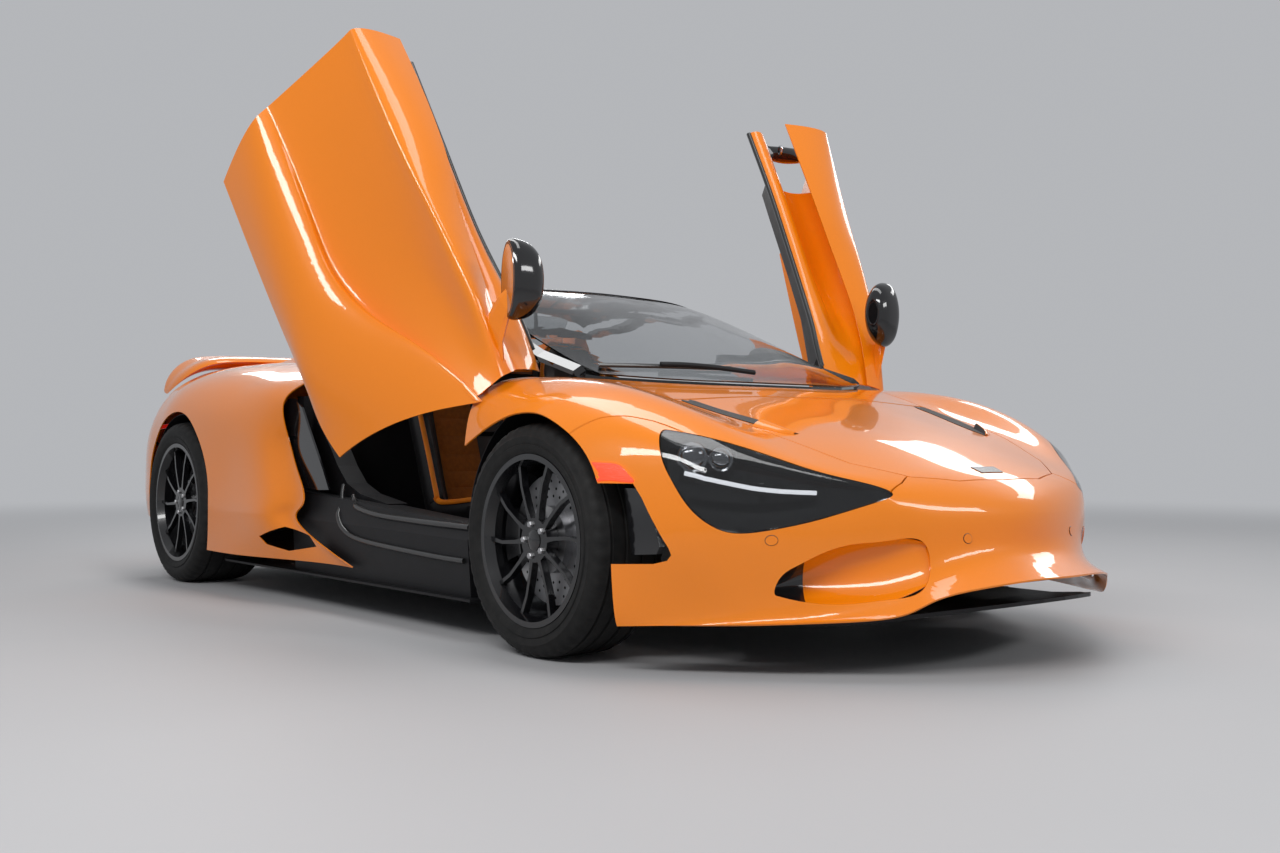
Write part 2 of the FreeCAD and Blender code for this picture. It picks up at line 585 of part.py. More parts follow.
# ---------------------------------------------------------------- tail pieces
DIFFUSER_OUTLINE = [(-1890, UNDERTRAY_Z), (-1890, 126), (-2175, 258), (-2225, 318), (-2222, 300), (-2170, 240),
                    (-1960, 132), (-1900, UNDERTRAY_Z)]
DIFFUSER_FIN_Y = (-600, -360, -120, 120, 360, 600)
diffuser_parts = [prism(DIFFUSER_OUTLINE, "y", -640, 640)]
for fin_y in DIFFUSER_FIN_Y:
    diffuser_parts.append(prism([(-1912, 122), (-2170, 246), (-2215, 262), (-2200, 205), (-1975, 124)],
                                "y", fin_y - 5, fin_y + 5))
diffuser = fuse(diffuser_parts)

# ---------------------------------------------------------------- tub, floor, bulkheads, subframes
underfloor = prism([(1690, -600), (1600, -690), (1500, -555), (860, -555), (800, -900), (-1080, -900), (-1120, -600),
                    (-1880, -600), (-1880, 600), (-1120, 600), (-1080, 900), (800, 900), (860, 555), (1500, 555),
                    (1600, 690), (1690, 600)], "z", UNDERTRAY_Z, UNDERTRAY_Z + UNDERTRAY_T)
SPLITTER_SIDE = [(1640, FLOOR_Z), (1850, FLOOR_Z), (2020, 143), (2200, 176), (2200, 186), (2020, 155),
                 (1850, FLOOR_Z + 12), (1640, FLOOR_Z + 12)]
SPLITTER_PLAN = [(2196, 0), (2188, 110), (2164, 210), (2115, 345), (2070, 425), (1985, 510), (1850, 560), (1600, 580)]
splitter = prism(SPLITTER_SIDE, "y", -600, 600)
splitter = splitter.common(prism(both_sides(SPLITTER_PLAN), "z", 100, 250))
sill = loft([
    [(755, 690, FLOOR_Z), (755, 868, FLOOR_Z), (755, 880, 300), (755, 850, 345), (755, 720, 335)],
    [(-500, 690, FLOOR_Z), (-500, 860, FLOOR_Z), (-500, 874, 320), (-500, 845, 420), (-500, 730, 420)],
])
liner_clear = cyl_y(FRONT_AXLE_X, FRONT_TYRE_R, FRONT_LINER_R + SEAT_GAP, 500, 1000)
SILL_RISE_OUTLINE = [(-520, 800), (-476, 800), (-474, 680), (-420, 640), (-362, 585), (-300, 515), (-225, 452), (-120, 415),
                     (80, 386), (80, 340), (-520, 340)]
sill_rise = prism(SILL_RISE_OUTLINE, "y", 705, 786)
hinge_post = prism([(760, 150), (850, 150), (850, 500), (885, 640), (875, 740), (800, 740), (770, 560)], "y", 600, 740)
hinge_post = hinge_post.cut(liner_clear)
rear_post = box(REAR_WALL_X0, -500, 600, 826, 150, 780)
screen_arm = box(BULKHEAD_X1 - 10, 1030, 570, 640, 600, 640 - SEAT_GAP)
tub_parts = [box(REAR_WALL_X0, BULKHEAD_X1, -700, 700, FLOOR_Z, FLOOR_TOP),
             box(BULKHEAD_X0, BULKHEAD_X1, -640, 640, 150, 640),
             box(REAR_WALL_X0, REAR_WALL_X1, -640, 640, 150, 900)]
front_sub_parts = [box(BULKHEAD_X1 + SEAT_GAP, 2000, RAIL_Y0, RAIL_Y1, RAIL_Z0, RAIL_Z1),
                   box(1960, 2000, 0, 400, RAIL_Z0, 330)]
rear_sub_parts = [box(-2110, REAR_WALL_X0 - SEAT_GAP, REAR_RAIL_Y0, REAR_RAIL_Y1, REAR_RAIL_Z0, REAR_RAIL_Z1),
                  box(-2150, -2110, 0, REAR_RAIL_Y1, REAR_RAIL_Z0 + 22, REAR_RAIL_Z1),
                  box(-1085, -1050, REAR_RAIL_Y1 - 10, 720, 245, LINER_BAR_Z + 7)]
tub_sides = [sill, sill_rise, hinge_post, rear_post, screen_arm]


def arch_liner(x, z, outer, wall, y0, y1, z_low):
    ring = tube_y(x, z, outer, outer - wall, y0, y1)
    return ring.common(box(x - outer, x + outer, y0 - 10, y1 + 10, z_low, z + outer + 10))


front_liner = arch_liner(FRONT_AXLE_X, FRONT_TYRE_R, FRONT_LINER_R, 3, 690, 898, FRONT_TYRE_R - 60)
front_liner = front_liner.cut(box(FRONT_AXLE_X, 1700, 600, 1000, 0, 500))
rear_liner = arch_liner(REAR_AXLE_X, REAR_TYRE_R, REAR_ARCH_R - 10, 3, 640, 930, REAR_TYRE_R - 80)
SEATS = [
    # list of parts that carries it, start, direction, bar size, what it carries
    (front_sub_parts, (1995, 250, 300), (1, 0, 0), 14, front_bumper),
    (front_sub_parts, (1965, 390, 318), (-203, 205, 120), 14, pod_left),
    (tub_sides, (868, 735, 625), (0.15, 1, 0), 14, fender_left),
    (tub_sides, (1022, 582, 630), (0.25, 0.15, 1), 12, cowl_panel),
    (tub_sides, (-540, 400, 890), (0, 0, 1), 20, deck),
    (rear_sub_parts, (-700, 365, 270), (0, 1, 0), 20, quarter_left),
    (rear_sub_parts, (-1080, 690, LINER_BAR_Z), (-1, 0, 0), 12, rear_liner),
    (rear_sub_parts, (-2135, 300, 282), (-1, 0, 0.8), 16, tail),
    (rear_sub_parts, (-2117, 355, 282), (0, 0.83, 0.57), 12, side_lamp),
    (rear_sub_parts, (-2000, 350, 245), (0, 0, -1), 14, diffuser),
]
for carrier, start, direction, size, target in SEATS:
    carrier.append(strut(start, direction, size, target))
tub = fuse(tub_parts + tub_sides + [mirror(p) for p in tub_sides])
tub = largest(tub)[0]
PILLAR_FACE_OUTLINE = [(-545, 770), (-500, 770), (-430, 735), (-372, 655), (-310, 575), (-252, 500), (-205, 430),
                       (-300, 427), (-430, 433), (-560, 440), (-600, 560), (-600, 740)]
intake_face = prism(PILLAR_FACE_OUTLINE, "y", 862, 870)
intake_face = intake_face.fuse(strut((-565, 866, 620), (0, 1, 0), 12, quarter_left))
luggage_tub = box(1180, 1720, -RAIL_Y0 + SEAT_GAP, RAIL_Y0 - SEAT_GAP, 205, 560)
luggage_tub = luggage_tub.cut(box(1188, 1712, -RAIL_Y0 + 8, RAIL_Y0 - 8, 213, 600))
ENGINE_Y = REAR_RAIL_Y0 - SEAT_GAP
engine = box(-1150, -620, -ENGINE_Y, ENGINE_Y, 160, 620)
exhaust = Part.makeCylinder(TIP_R, 190, V(TIP_X, TIP_Y, TIP_Z), V(-1, 0, 0))
exhaust = exhaust.cut(Part.makeCylinder(TIP_R - 5, 180, V(TIP_X - 12, TIP_Y, TIP_Z), V(-1, 0, 0)))
exhaust = exhaust.fuse(rod((-1150 - SEAT_GAP, TIP_Y, TIP_Z), (TIP_X - 5, TIP_Y, TIP_Z), 36))

# ---------------------------------------------------------------- cabin
SEAT_PROFILE = [(-150, FLOOR_TOP + SEAT_GAP), (330, FLOOR_TOP + SEAT_GAP), (360, 300), (330, 330), (-60, 300),
                (-170, 330), (-330, 880), (-400, 915), (-440, 905), (-340, 560), (-260, 230)]
BOLSTER_PROFILE = [(-120, 250), (300, 250), (340, 380), (-60, 380), (-180, 430), (-300, 780), (-360, 780),
                   (-290, 500)]
SEAT_Y0 = 100.0
SEAT_Y1 = 512.0
BOLSTER_W = 60.0
bolster = prism(BOLSTER_PROFILE, "y", SEAT_Y0, SEAT_Y0 + BOLSTER_W)
seat = fuse([prism(SEAT_PROFILE, "y", SEAT_Y0, SEAT_Y1), bolster,
             bolster.translated(V(0, SEAT_Y1 - SEAT_Y0 - BOLSTER_W, 0))])
DASH_X1 = BULKHEAD_X0 - SEAT_GAP
dashboard = prism([(520, 560), (560, 700), (700, 785), (DASH_X1, 755), (DASH_X1, 520), (640, 500)], "y", -585, 585)
console = prism([(-300, FLOOR_TOP + SEAT_GAP), (-300, 360), (300, 430), (515, 560), (515, FLOOR_TOP + SEAT_GAP)],
                "y", -90, 90)
STEER_CENTRE = (430, 306, 640)
STEER_TILT = 0.35
steer_axis = V(1, 0, STEER_TILT)
steer_axis.normalize()
STEER_RING_R = 165.0
wheel_ring = Part.makeTorus(STEER_RING_R, 15, V(*STEER_CENTRE), steer_axis)
column = strut(STEER_CENTRE, (1, 0, STEER_TILT), 46, dashboard)
steer_spokes = box(424, 436, STEER_CENTRE[1] - STEER_RING_R, STEER_CENTRE[1] + STEER_RING_R, 628, 652)
steering_wheel = largest(fuse([wheel_ring, column, steer_spokes]))[0]

# ---------------------------------------------------------------- doors (drawn shut, saved raised)
# rows run from the rear edge to the front edge; columns from the inner top edge round to the bottom
DOOR_NET = [
    [(-450, 686, 864), (-452, 790, 858), (-452, 876, 838), (-450, 890, 800), (-445, 893, 690), (-436, 905, 560),
     (-425, 921, 455), (-412, 940, 420), (-375, 952, 310), (-330, 915, 150)],
    [(-137, 720, 868), (-137, 800, 860), (-137, 884, 824), (-135, 892, 780), (-130, 882, 660), (-120, 884, 520),
     (-110, 902, 418), (-105, 934, 400), (-93, 962, 272), (-60, 918, 138)],
    [(150, 765, 845), (150, 815, 842), (155, 890, 822), (155, 893, 780), (160, 868, 660), (165, 868, 500),
     (168, 890, 392), (170, 937, 374), (200, 964, 235), (230, 922, 130)],
    [(420, 806, 826), (420, 845, 828), (425, 893, 822), (425, 898, 780), (430, 866, 690), (435, 872, 570),
     (438, 892, 474), (440, 942, 452), (460, 966, 212), (480, 925, 125)],
    [(620, 818, 806), (620, 850, 810), (625, 888, 806), (630, 898, 775), (640, 890, 720), (645, 905, 650),
     (648, 925, 604), (650, 944, 580), (640, 967, 300), (620, 930, 125)],
    [(775, 812, 785), (782, 836, 785), (790, 872, 775), (798, 893, 755), (808, 915, 725), (815, 928, 700),
     (822, 936, 682), (826, 943, 664), (742, 968, 380), (722, 940, 150)],
]
# inner skin beside the cabin: window sill strip, wall and floor of the air channel
CHANNEL_NET = [
    [(-450, 554, 792), (-450, 579, 804), (-450, 614, 788), (-450, 630, 745), (-450, 660, 722), (-450, 760, 716),
     (-450, 845, 745)],
    [(-137, 594, 788), (-137, 619, 798), (-137, 654, 782), (-137, 670, 735), (-137, 705, 712), (-137, 785, 708),
     (-137, 852, 738)],
    [(218, 630, 778), (218, 656, 788), (218, 694, 770), (218, 720, 728), (218, 745, 708), (218, 805, 705),
     (218, 858, 735)],
    [(480, 644, 786), (480, 670, 794), (480, 710, 786), (480, 740, 765), (480, 772, 755), (480, 808, 752),
     (480, 852, 765)],
    [(650, 648, 783), (650, 674, 791), (650, 710, 790), (650, 742, 786), (650, 772, 780), (650, 804, 778),
     (650, 840, 776)],
    [(768, 655, 772), (768, 680, 778), (768, 712, 781), (768, 742, 782), (768, 770, 780), (768, 794, 777),
     (768, 822, 770)],
]


def raised(shape):
    s = shape.copy()
    s.rotate(V(*HINGE_POINT), V(*HINGE_AXIS), DOOR_SWING)
    return s


door_skin = skin(DOOR_NET, PANEL_T)
channel = largest(skin(CHANNEL_NET, 4.0).cut(box(-375, -215, 655, 812, 700, 830)))[0]
CARD_SECTIONS = [
    # x, sill y, sill z, y of the upper wall, y of the lower edge, lower edge z
    (-215, 592, 774, 795, 825, 446),
    (-100, 602, 772, 790, 820, 424),
    (200, 632, 766, 780, 812, 392),
    (450, 642, 776, 776, 808, 375),
    (640, 642, 776, 780, 812, 362),
]
CARD_T = 18.0
card = loft([[(x, y0, z0), (x, y0 + 14, z0 - 95), (x, y1, 590), (x, y2, z2), (x, y2 + CARD_T, z2),
              (x, y1 + CARD_T, 600), (x, y0 + 14 + CARD_T, z0 - 90), (x, y0 + CARD_T, z0)]
             for x, y0, z0, y1, y2, z2 in CARD_SECTIONS])
hinge_axis = V(*HINGE_AXIS)
hinge_axis.normalize()
HINGE_PIN_R = 12.0
hinge_pin = Part.makeCylinder(HINGE_PIN_R, 95, V(*HINGE_POINT) - hinge_axis * 50, hinge_axis)
eye_start = V(*HINGE_POINT) + hinge_axis * 14
hinge_eye = Part.makeCylinder(HINGE_PIN_R + 12, 26, eye_start, hinge_axis)
hinge_bar = rod(tuple(eye_start + hinge_axis * 13), (620, 786, 590), 11)
card = card.fuse(hinge_eye).fuse(hinge_bar)
card = card.cut(Part.makeCylinder(HINGE_PIN_R + RUN_GAP, 140, V(*HINGE_POINT) - hinge_axis * 60, hinge_axis))
card_bars = [strut((0, 824, 450), (0, 1, 0), 14, door_skin), strut((500, 815, 450), (0, 1, 0), 14, door_skin),
             strut((100, 745, 617), (0, 0, 1), 14, channel)]
card = largest(fuse([largest(card)[0]] + card_bars))[0]
tub = largest(tub.fuse(hinge_pin).fuse(mirror(hinge_pin)))[0]
MIRROR_CENTRE = V(565, 840, 955)
MIRROR_LONG = V(-0.873, -0.019, 0.487)
MIRROR_OUT = V(0.40, 0.55, 0.73)
MIRROR_OUT.normalize()
MIRROR_DEEP = MIRROR_LONG.cross(MIRROR_OUT)
MIRROR_DEEP.normalize()
MIRROR_RINGS = [
    # distance along the depth, half length, half width
    (-58, 40, 20),
    (-50, 78, 38),
    (-22, 108, 52),
    (12, 120, 58),
    (40, 119, 57),
    (48, 112, 52),
]


def mirror_ring(off, half_long, half_wide):
    points = []
    for k in range(12):
        t = 2 * math.pi * k / 12
        points.append(MIRROR_CENTRE + MIRROR_DEEP * off + MIRROR_LONG * (half_long * math.cos(t))
                      + MIRROR_OUT * (half_wide * math.sin(t)))
    curve = Part.BSplineCurve()
    curve.interpolate(points, PeriodicFlag=True)
    return Part.Wire(curve.toShape())


mirror_head = Part.makeLoft([mirror_ring(*r) for r in MIRROR_RINGS], True, False)
ARM_SECTIONS = [
    # centre, half size along the mirror, half size across it
    ((700, 862, 775), 62, 9),
    ((655, 872, 815), 48, 11),
    ((610, 874, 880), 34, 12),
    ((590, 866, 935), 26, 10),
]
arm_rings = []
for centre, long_half, cross_half in ARM_SECTIONS:
    ring = []
    for a, b in ((-1, -0.5), (-0.6, -1), (0.6, -1), (1, -0.5), (1, 0.5), (0.6, 1), (-0.6, 1), (-1, 0.5)):
        ring.append(tuple(V(*centre) + V(0.92, -0.05, 0.1) * (a * long_half) + V(0.05, 0.95, 0.3) * (b * cross_half)))
    arm_rings.append(ring)
mirror_arm = loft(arm_rings)
mirror_arm = max(mirror_arm.cut(door_skin).Solids, key=lambda p: p.CenterOfMass.z)
mirror_arm.translate(V(0, 0.05, SEAT_GAP))
mirror_arm = largest(mirror_arm.cut(mirror_head))[0]

# ---------------------------------------------------------------- bonnet hinge
BONNET_HINGE_X = 1368.0
BONNET_HINGE_Z = 714.0
BONNET_HINGE_R = 4.0
LUG_Y0 = 308.0
LUG_Y1 = 320.0
lug = box(BONNET_HINGE_X - 10, BONNET_HINGE_X + 10, LUG_Y0, LUG_Y1, BONNET_HINGE_Z - 9, BONNET_HINGE_Z + 14)
lug = lug.cut(cyl_y(BONNET_HINGE_X, BONNET_HINGE_Z, BONNET_HINGE_R + RUN_GAP, 280, 345))
bonnet = largest(bonnet.fuse(lug).fuse(mirror(lug)))[0]
hinge_leg = box(BONNET_HINGE_X - 7, BONNET_HINGE_X + 7, LUG_Y1 + 5, LUG_Y1 + 15, RAIL_Z1 - 10, BONNET_HINGE_Z + 5)
hinge_leg = hinge_leg.fuse(cyl_y(BONNET_HINGE_X, BONNET_HINGE_Z, BONNET_HINGE_R, LUG_Y0 - 4, LUG_Y1 + 10))
front_sub_parts.append(hinge_leg)
front_subframe = fuse(front_sub_parts + [mirror(p) for p in front_sub_parts])
rear_subframe = fuse(rear_sub_parts + [mirror(p) for p in rear_sub_parts])

# ---------------------------------------------------------------- wheels, brakes, uprights, arms
WHEELS = [
    # name, x, y of the middle, kingpin inset, tyre radius, tyre width, rim radius, disc radius, caliper side
    ("front", FRONT_AXLE_X, FRONT_TRACK / 2, FRONT_KINGPIN_IN, FRONT_TYRE_R, FRONT_TYRE_W, FRONT_RIM_R,
     FRONT_DISC_R, -1),
    ("rear", REAR_AXLE_X, REAR_TRACK / 2, REAR_KINGPIN_IN, REAR_TYRE_R, REAR_TYRE_W, REAR_RIM_R,
     REAR_DISC_R, 1),
]
HUB_R = 62.0
HUB_DEPTH = 70.0
ARM_R = 13.0
UPRIGHT_HALF = 150.0
ARM_HEIGHT = UPRIGHT_HALF + ARM_R + 20.0
ARM_SPREAD = 130.0


def turned(profile, x, z, y):
    """Ring turned about the wheel axis; profile points are (offset across, radius)."""
    wire = Part.makePolygon([V(x, y + p[0], z + p[1]) for p in profile + [profile[0]]])
    return Part.Face(wire).revolve(V(x, y, z), V(0, 1, 0), 360)


suspension = []
for tag, wx, wy, inset, radius, width, rim_r, disc_r, aft in WHEELS:
    hw = width / 2
    pin_y = wy - inset
    tyre = turned([(-hw + 12, rim_r + SEAT_GAP), (-hw, rim_r + 30), (-hw, radius - 30), (-hw + 22, radius - 3),
                   (0, radius), (hw - 22, radius - 3), (hw, radius - 30), (hw, rim_r + 30),
                   (hw - 12, rim_r + SEAT_GAP)], wx, radius, wy)
    barrel = turned([(-hw + 10, rim_r), (hw - 10, rim_r), (hw - 10, rim_r - 16), (hw - 40, rim_r - 28),
                     (-hw + 40, rim_r - 28), (-hw + 10, rim_r - 16)], wx, radius, wy)
    face_y = wy + hw - 30
    rim_parts = [barrel, cyl_y(wx, radius, HUB_R, face_y - HUB_DEPTH, face_y)]
    for k in range(SPOKES):
        outline = [(30, -10), (95, 4), (160, 9), (rim_r - 14, -1), (rim_r - 14, 11), (160, 19), (95, 15), (30, 10)]
        spoke = prism([(wx + a, radius + b) for a, b in outline], "y", face_y - 22, face_y)
        spoke.rotate(V(wx, wy, radius), V(0, 1, 0), 360.0 * k / SPOKES)
        rim_parts.append(spoke)
    rim = fuse(rim_parts).cut(cyl_y(wx, radius, SPINDLE_R + RUN_GAP, face_y - HUB_DEPTH - 1, face_y - 20))
    disc_y = wy + 10
    disc = cyl_y(wx, radius, disc_r, disc_y - DISC_T / 2, disc_y + DISC_T / 2)
    disc = disc.fuse(cyl_y(wx, radius, 95, disc_y, face_y - 40))
    disc = disc.cut(cyl_y(wx, radius, HUB_R + SEAT_GAP, disc_y - 50, face_y))
    caliper = tube_y(wx, radius, disc_r + 18, disc_r - 55, disc_y - 42, disc_y + 42)
    caliper = caliper.cut(cyl_y(wx, radius, disc_r + 6, disc_y - DISC_T / 2 - 5, disc_y + DISC_T / 2 + 5))
    sector = prism([(wx, radius), (wx + aft * 320, radius - 120), (wx + aft * 320, radius + 140)], "y",
                   disc_y - 60, disc_y + 60)
    caliper = caliper.common(sector)
    spindle = cyl_y(wx, radius, SPINDLE_R, pin_y, face_y - 24)
    upright = box(wx - 28, wx + 28, pin_y - 25, pin_y + 25, radius - UPRIGHT_HALF, radius + UPRIGHT_HALF)
    arm_x0 = wx if aft < 0 else wx + disc_r - 30
    bracket = box(min(wx, wx + aft * (disc_r - 30)), max(wx, wx + aft * (disc_r - 30)), pin_y - 12,
                  pin_y + 12, radius - 12, radius + 12)
    foot = strut((wx + aft * (disc_r - 43), pin_y, radius), (0, 1, 0), 20, caliper)
    upright = fuse([upright, spindle, bracket, foot])
    root_y = (RAIL_Y1 if aft < 0 else REAR_RAIL_Y1) + SEAT_GAP
    root_z0 = RAIL_Z0 if aft < 0 else REAR_RAIL_Z0
    tower = box(wx - ARM_SPREAD - 15, wx + ARM_SPREAD + 15, root_y, root_y + 24, root_z0, radius + ARM_HEIGHT - 60)
    linkage = [tower]
    for spread in (-ARM_SPREAD, ARM_SPREAD):
        linkage.append(rod((wx + spread, root_y + 12, root_z0 + 15), (wx, pin_y, radius - ARM_HEIGHT), ARM_R))
        linkage.append(rod((wx + spread, root_y + 12, radius + ARM_HEIGHT - 75),
                           (wx, pin_y, radius + ARM_HEIGHT), ARM_R))
    pin = Part.makeCylinder(KINGPIN_R, 2 * ARM_HEIGHT, V(wx, pin_y, radius - ARM_HEIGHT))
    for end in (-1, 1):
        linkage.append(Part.makeSphere(ARM_R, V(wx, pin_y, radius + end * ARM_HEIGHT)))
    if aft < 0:
        upright = upright.cut(Part.makeCylinder(KINGPIN_R + RUN_GAP, 400, V(wx, pin_y, radius - 200)))
        upright = largest(upright)[0]
        linkage = fuse(linkage + [pin])
        save("knuckle_front_left", upright)
        save("knuckle_front_right", mirror(upright))
        save("caliper_front_left", caliper)
        save("caliper_front_right", mirror(caliper))
    else:
        linkage = fuse(linkage + [pin, upright])
        save("rear_calipers", [caliper, mirror(caliper)])
    suspension += [linkage, mirror(linkage)]
    for name, piece in (("tyre", tyre), ("rim", rim), ("brake_disc", disc)):
        save("%s_%s_left" % (name, tag), piece)
        save("%s_%s_right" % (name, tag), mirror(piece))
save("suspension_arms", suspension)

# ---------------------------------------------------------------- saved pieces
SINGLES = [
    ("bonnet", bonnet), ("front_bumper", front_bumper), ("cowl_panel", cowl_panel), ("tail_panel", tail),
    ("rear_deck", deck), ("rear_wing", wing), ("windscreen", windscreen), ("roof_panel", roof),
    ("windscreen_frame", windscreen_frame), ("rear_window", rear_window), ("underfloor", underfloor),
    ("splitter", splitter), ("tub", tub), ("luggage_tub", luggage_tub), ("engine_block", engine),
    ("diffuser", diffuser), ("dashboard", dashboard), ("centre_console", console),
    ("steering_wheel", steering_wheel), ("front_subframe", front_subframe), ("rear_subframe", rear_subframe),
]
PAIRS = [
    ("headlamp_lenses", [lens_left]), ("headlamp_pods", [pod_left]), ("vent_faces", [vent_panel, intake_face]),
    ("rear_quarters", [quarter_left]), ("arch_liners", [front_liner, rear_liner]),
    ("bumper_scoops", [scoop_panel]), ("exhaust_pipes", [exhaust]), ("tail_lamps", [side_lamp, rear_lamp]),
    ("seats", [seat]),
]
DOOR_PIECES = [("door", door_skin), ("door_channel", channel), ("door_card", card),
               ("door_mirror", mirror_head), ("mirror_arm", mirror_arm)]
save("front_fenders", [fender_left, fenders[1]])
for name, shape in SINGLES:
    save(name, shape)
for name, halves in PAIRS:
    save(name, halves + [mirror(h) for h in halves])
for name, shape in DOOR_PIECES:
    up = raised(shape)
    save(name + "_left", up)
    save(name + "_right", mirror(up))
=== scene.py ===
"""Looks of the two-seat supercar: paint, glass, trim, tyres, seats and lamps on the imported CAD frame.

Lengths are in metres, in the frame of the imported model: +X to the nose, +Y to the car's left, +Z up.
What comes in pairs is drawn for the left side and mirrored for the right.
"""

import json
import math

import bmesh
import bpy
from mathutils import Matrix, Vector
from mathutils.bvhtree import BVHTree


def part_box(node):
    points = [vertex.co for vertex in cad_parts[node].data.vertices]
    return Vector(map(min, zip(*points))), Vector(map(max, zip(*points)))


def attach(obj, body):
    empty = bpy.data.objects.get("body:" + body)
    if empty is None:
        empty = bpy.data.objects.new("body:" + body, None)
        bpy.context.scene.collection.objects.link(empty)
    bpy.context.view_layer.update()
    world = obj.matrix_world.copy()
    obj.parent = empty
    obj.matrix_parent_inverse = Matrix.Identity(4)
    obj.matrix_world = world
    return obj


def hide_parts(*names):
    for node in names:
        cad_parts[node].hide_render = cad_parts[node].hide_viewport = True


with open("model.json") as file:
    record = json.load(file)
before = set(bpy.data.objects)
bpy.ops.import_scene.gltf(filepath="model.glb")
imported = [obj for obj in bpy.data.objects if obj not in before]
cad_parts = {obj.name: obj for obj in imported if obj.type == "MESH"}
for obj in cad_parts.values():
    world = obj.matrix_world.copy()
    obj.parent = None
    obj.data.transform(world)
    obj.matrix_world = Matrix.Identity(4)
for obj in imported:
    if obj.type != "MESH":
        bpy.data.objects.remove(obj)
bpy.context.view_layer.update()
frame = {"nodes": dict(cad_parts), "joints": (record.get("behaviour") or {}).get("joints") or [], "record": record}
NODES = frame["nodes"]
JOINTS = {j["name"]: j for j in frame["joints"]}
SIDES = {"left": 1, "right": -1}

# ---------------------------------------------------------------- materials
# Scales of noise and cells are per metre, and distances of bumps are in metres.


class Nodes:
    """A short way to write a procedural material around one Principled shader."""

    def __init__(self, name, colour, roughness, metallic=0.0):
        self.material = bpy.data.materials.new(name)
        self.material.use_nodes = True
        self.tree = self.material.node_tree
        self.shader = self.tree.nodes["Principled BSDF"]
        self.set("Base Color", (*colour, 1.0))
        self.set("Roughness", roughness)
        self.set("Metallic", metallic)
        self.coordinates = self.add("ShaderNodeTexCoord").outputs["Object"]

    def add(self, kind, **values):
        node = self.tree.nodes.new(kind)
        for key, value in values.items():
            setattr(node, key, value)
        return node

    def set(self, socket, value):
        self.shader.inputs[socket].default_value = value

    def link(self, output, target):
        self.tree.links.new(output, target)

    def calc(self, operation, *values):
        """Result of one operation on numbers or the outputs of other nodes."""
        node = self.add("ShaderNodeMath", operation=operation)
        for slot, value in zip(node.inputs, values):
            if isinstance(value, (int, float)):
                slot.default_value = value
            else:
                self.link(value, slot)
        return node.outputs[0]

    def length(self, a, b):
        """Length of a line that goes a one way and b across it."""
        squares = [self.calc("MULTIPLY", part, part) for part in (a, b)]
        return self.calc("SQRT", self.calc("ADD", *squares))

    def off_centre(self, value):
        """How far value is from the middle of its own whole step, from -0.5 to 0.5."""
        return self.calc("SUBTRACT", self.calc("FRACT", value), 0.5)

    def noise(self, scale, detail=3.0, stretch=(1, 1, 1)):
        mapping = self.add("ShaderNodeMapping")
        mapping.inputs["Scale"].default_value = stretch
        self.link(self.coordinates, mapping.inputs["Vector"])
        node = self.add("ShaderNodeTexNoise")
        node.inputs["Scale"].default_value = scale
        node.inputs["Detail"].default_value = detail
        self.link(mapping.outputs[0], node.inputs["Vector"])
        return node.outputs["Fac"]

    def cells(self, scale, feature="F1"):
        node = self.add("ShaderNodeTexVoronoi", feature=feature)
        node.inputs["Scale"].default_value = scale
        self.link(self.coordinates, node.inputs["Vector"])
        return node.outputs["Distance"]

    def ramp(self, factor, low, high, start=0.3, end=0.7):
        """Colour that runs from low to high as factor goes from start to end."""
        node = self.add("ShaderNodeValToRGB")
        node.color_ramp.elements[0].position = start
        node.color_ramp.elements[0].color = (*low, 1)
        node.color_ramp.elements[1].position = end
        node.color_ramp.elements[1].color = (*high, 1)
        self.link(factor, node.inputs[0])
        return node.outputs[0]

    def spread(self, factor, low, high):
        """Number that runs from low to high with factor."""
        node = self.add("ShaderNodeMapRange")
        node.inputs["To Min"].default_value = low
        node.inputs["To Max"].default_value = high
        self.link(factor, node.inputs["Value"])
        return node.outputs[0]

    def colour(self, output):
        self.link(output, self.shader.inputs["Base Color"])

    def roughness(self, factor, low, high):
        self.link(self.spread(factor, low, high), self.shader.inputs["Roughness"])

    def bump(self, height, strength, distance):
        node = self.add("ShaderNodeBump")
        node.inputs["Strength"].default_value = strength
        node.inputs["Distance"].default_value = distance
        self.link(height, node.inputs["Height"])
        self.link(node.outputs[0], self.shader.inputs["Normal"])

    def position(self):
        node = self.add("ShaderNodeSeparateXYZ")
        self.link(self.coordinates, node.inputs[0])
        return node.outputs


def paint_material(name, colour):
    m = Nodes(name, colour, 0.34)
    flake = m.cells(2600.0)
    deep = tuple(c * 0.86 for c in colour)
    m.colour(m.ramp(flake, deep, colour, 0.15, 0.6))
    m.roughness(m.noise(7.0), 0.30, 0.38)
    m.bump(m.noise(420.0, 1.0), 0.012, 0.002)
    m.set("Coat Weight", 1.0)
    m.set("Coat Roughness", 0.035)
    m.set("Specular IOR Level", 0.2)
    return m.material


def gloss_material(name, colour=(0.006, 0.006, 0.007), low=0.06, high=0.14):
    m = Nodes(name, colour, low)
    m.roughness(m.noise(11.0), low, high)
    m.bump(m.noise(350.0, 1.0), 0.008, 0.001)
    m.set("Coat Weight", 0.6)
    m.set("Coat Roughness", 0.04)
    return m.material


def grain_material(name, colour, low, high, scale=900.0, strength=0.12):
    m = Nodes(name, colour, low)
    m.set("Specular IOR Level", 0.3)
    grain = m.noise(scale, 2.0)
    lighter = tuple(c * 1.35 for c in colour)
    m.colour(m.ramp(m.noise(18.0), colour, lighter))
    m.roughness(grain, low, high)
    m.bump(grain, strength, 0.0006)
    return m.material


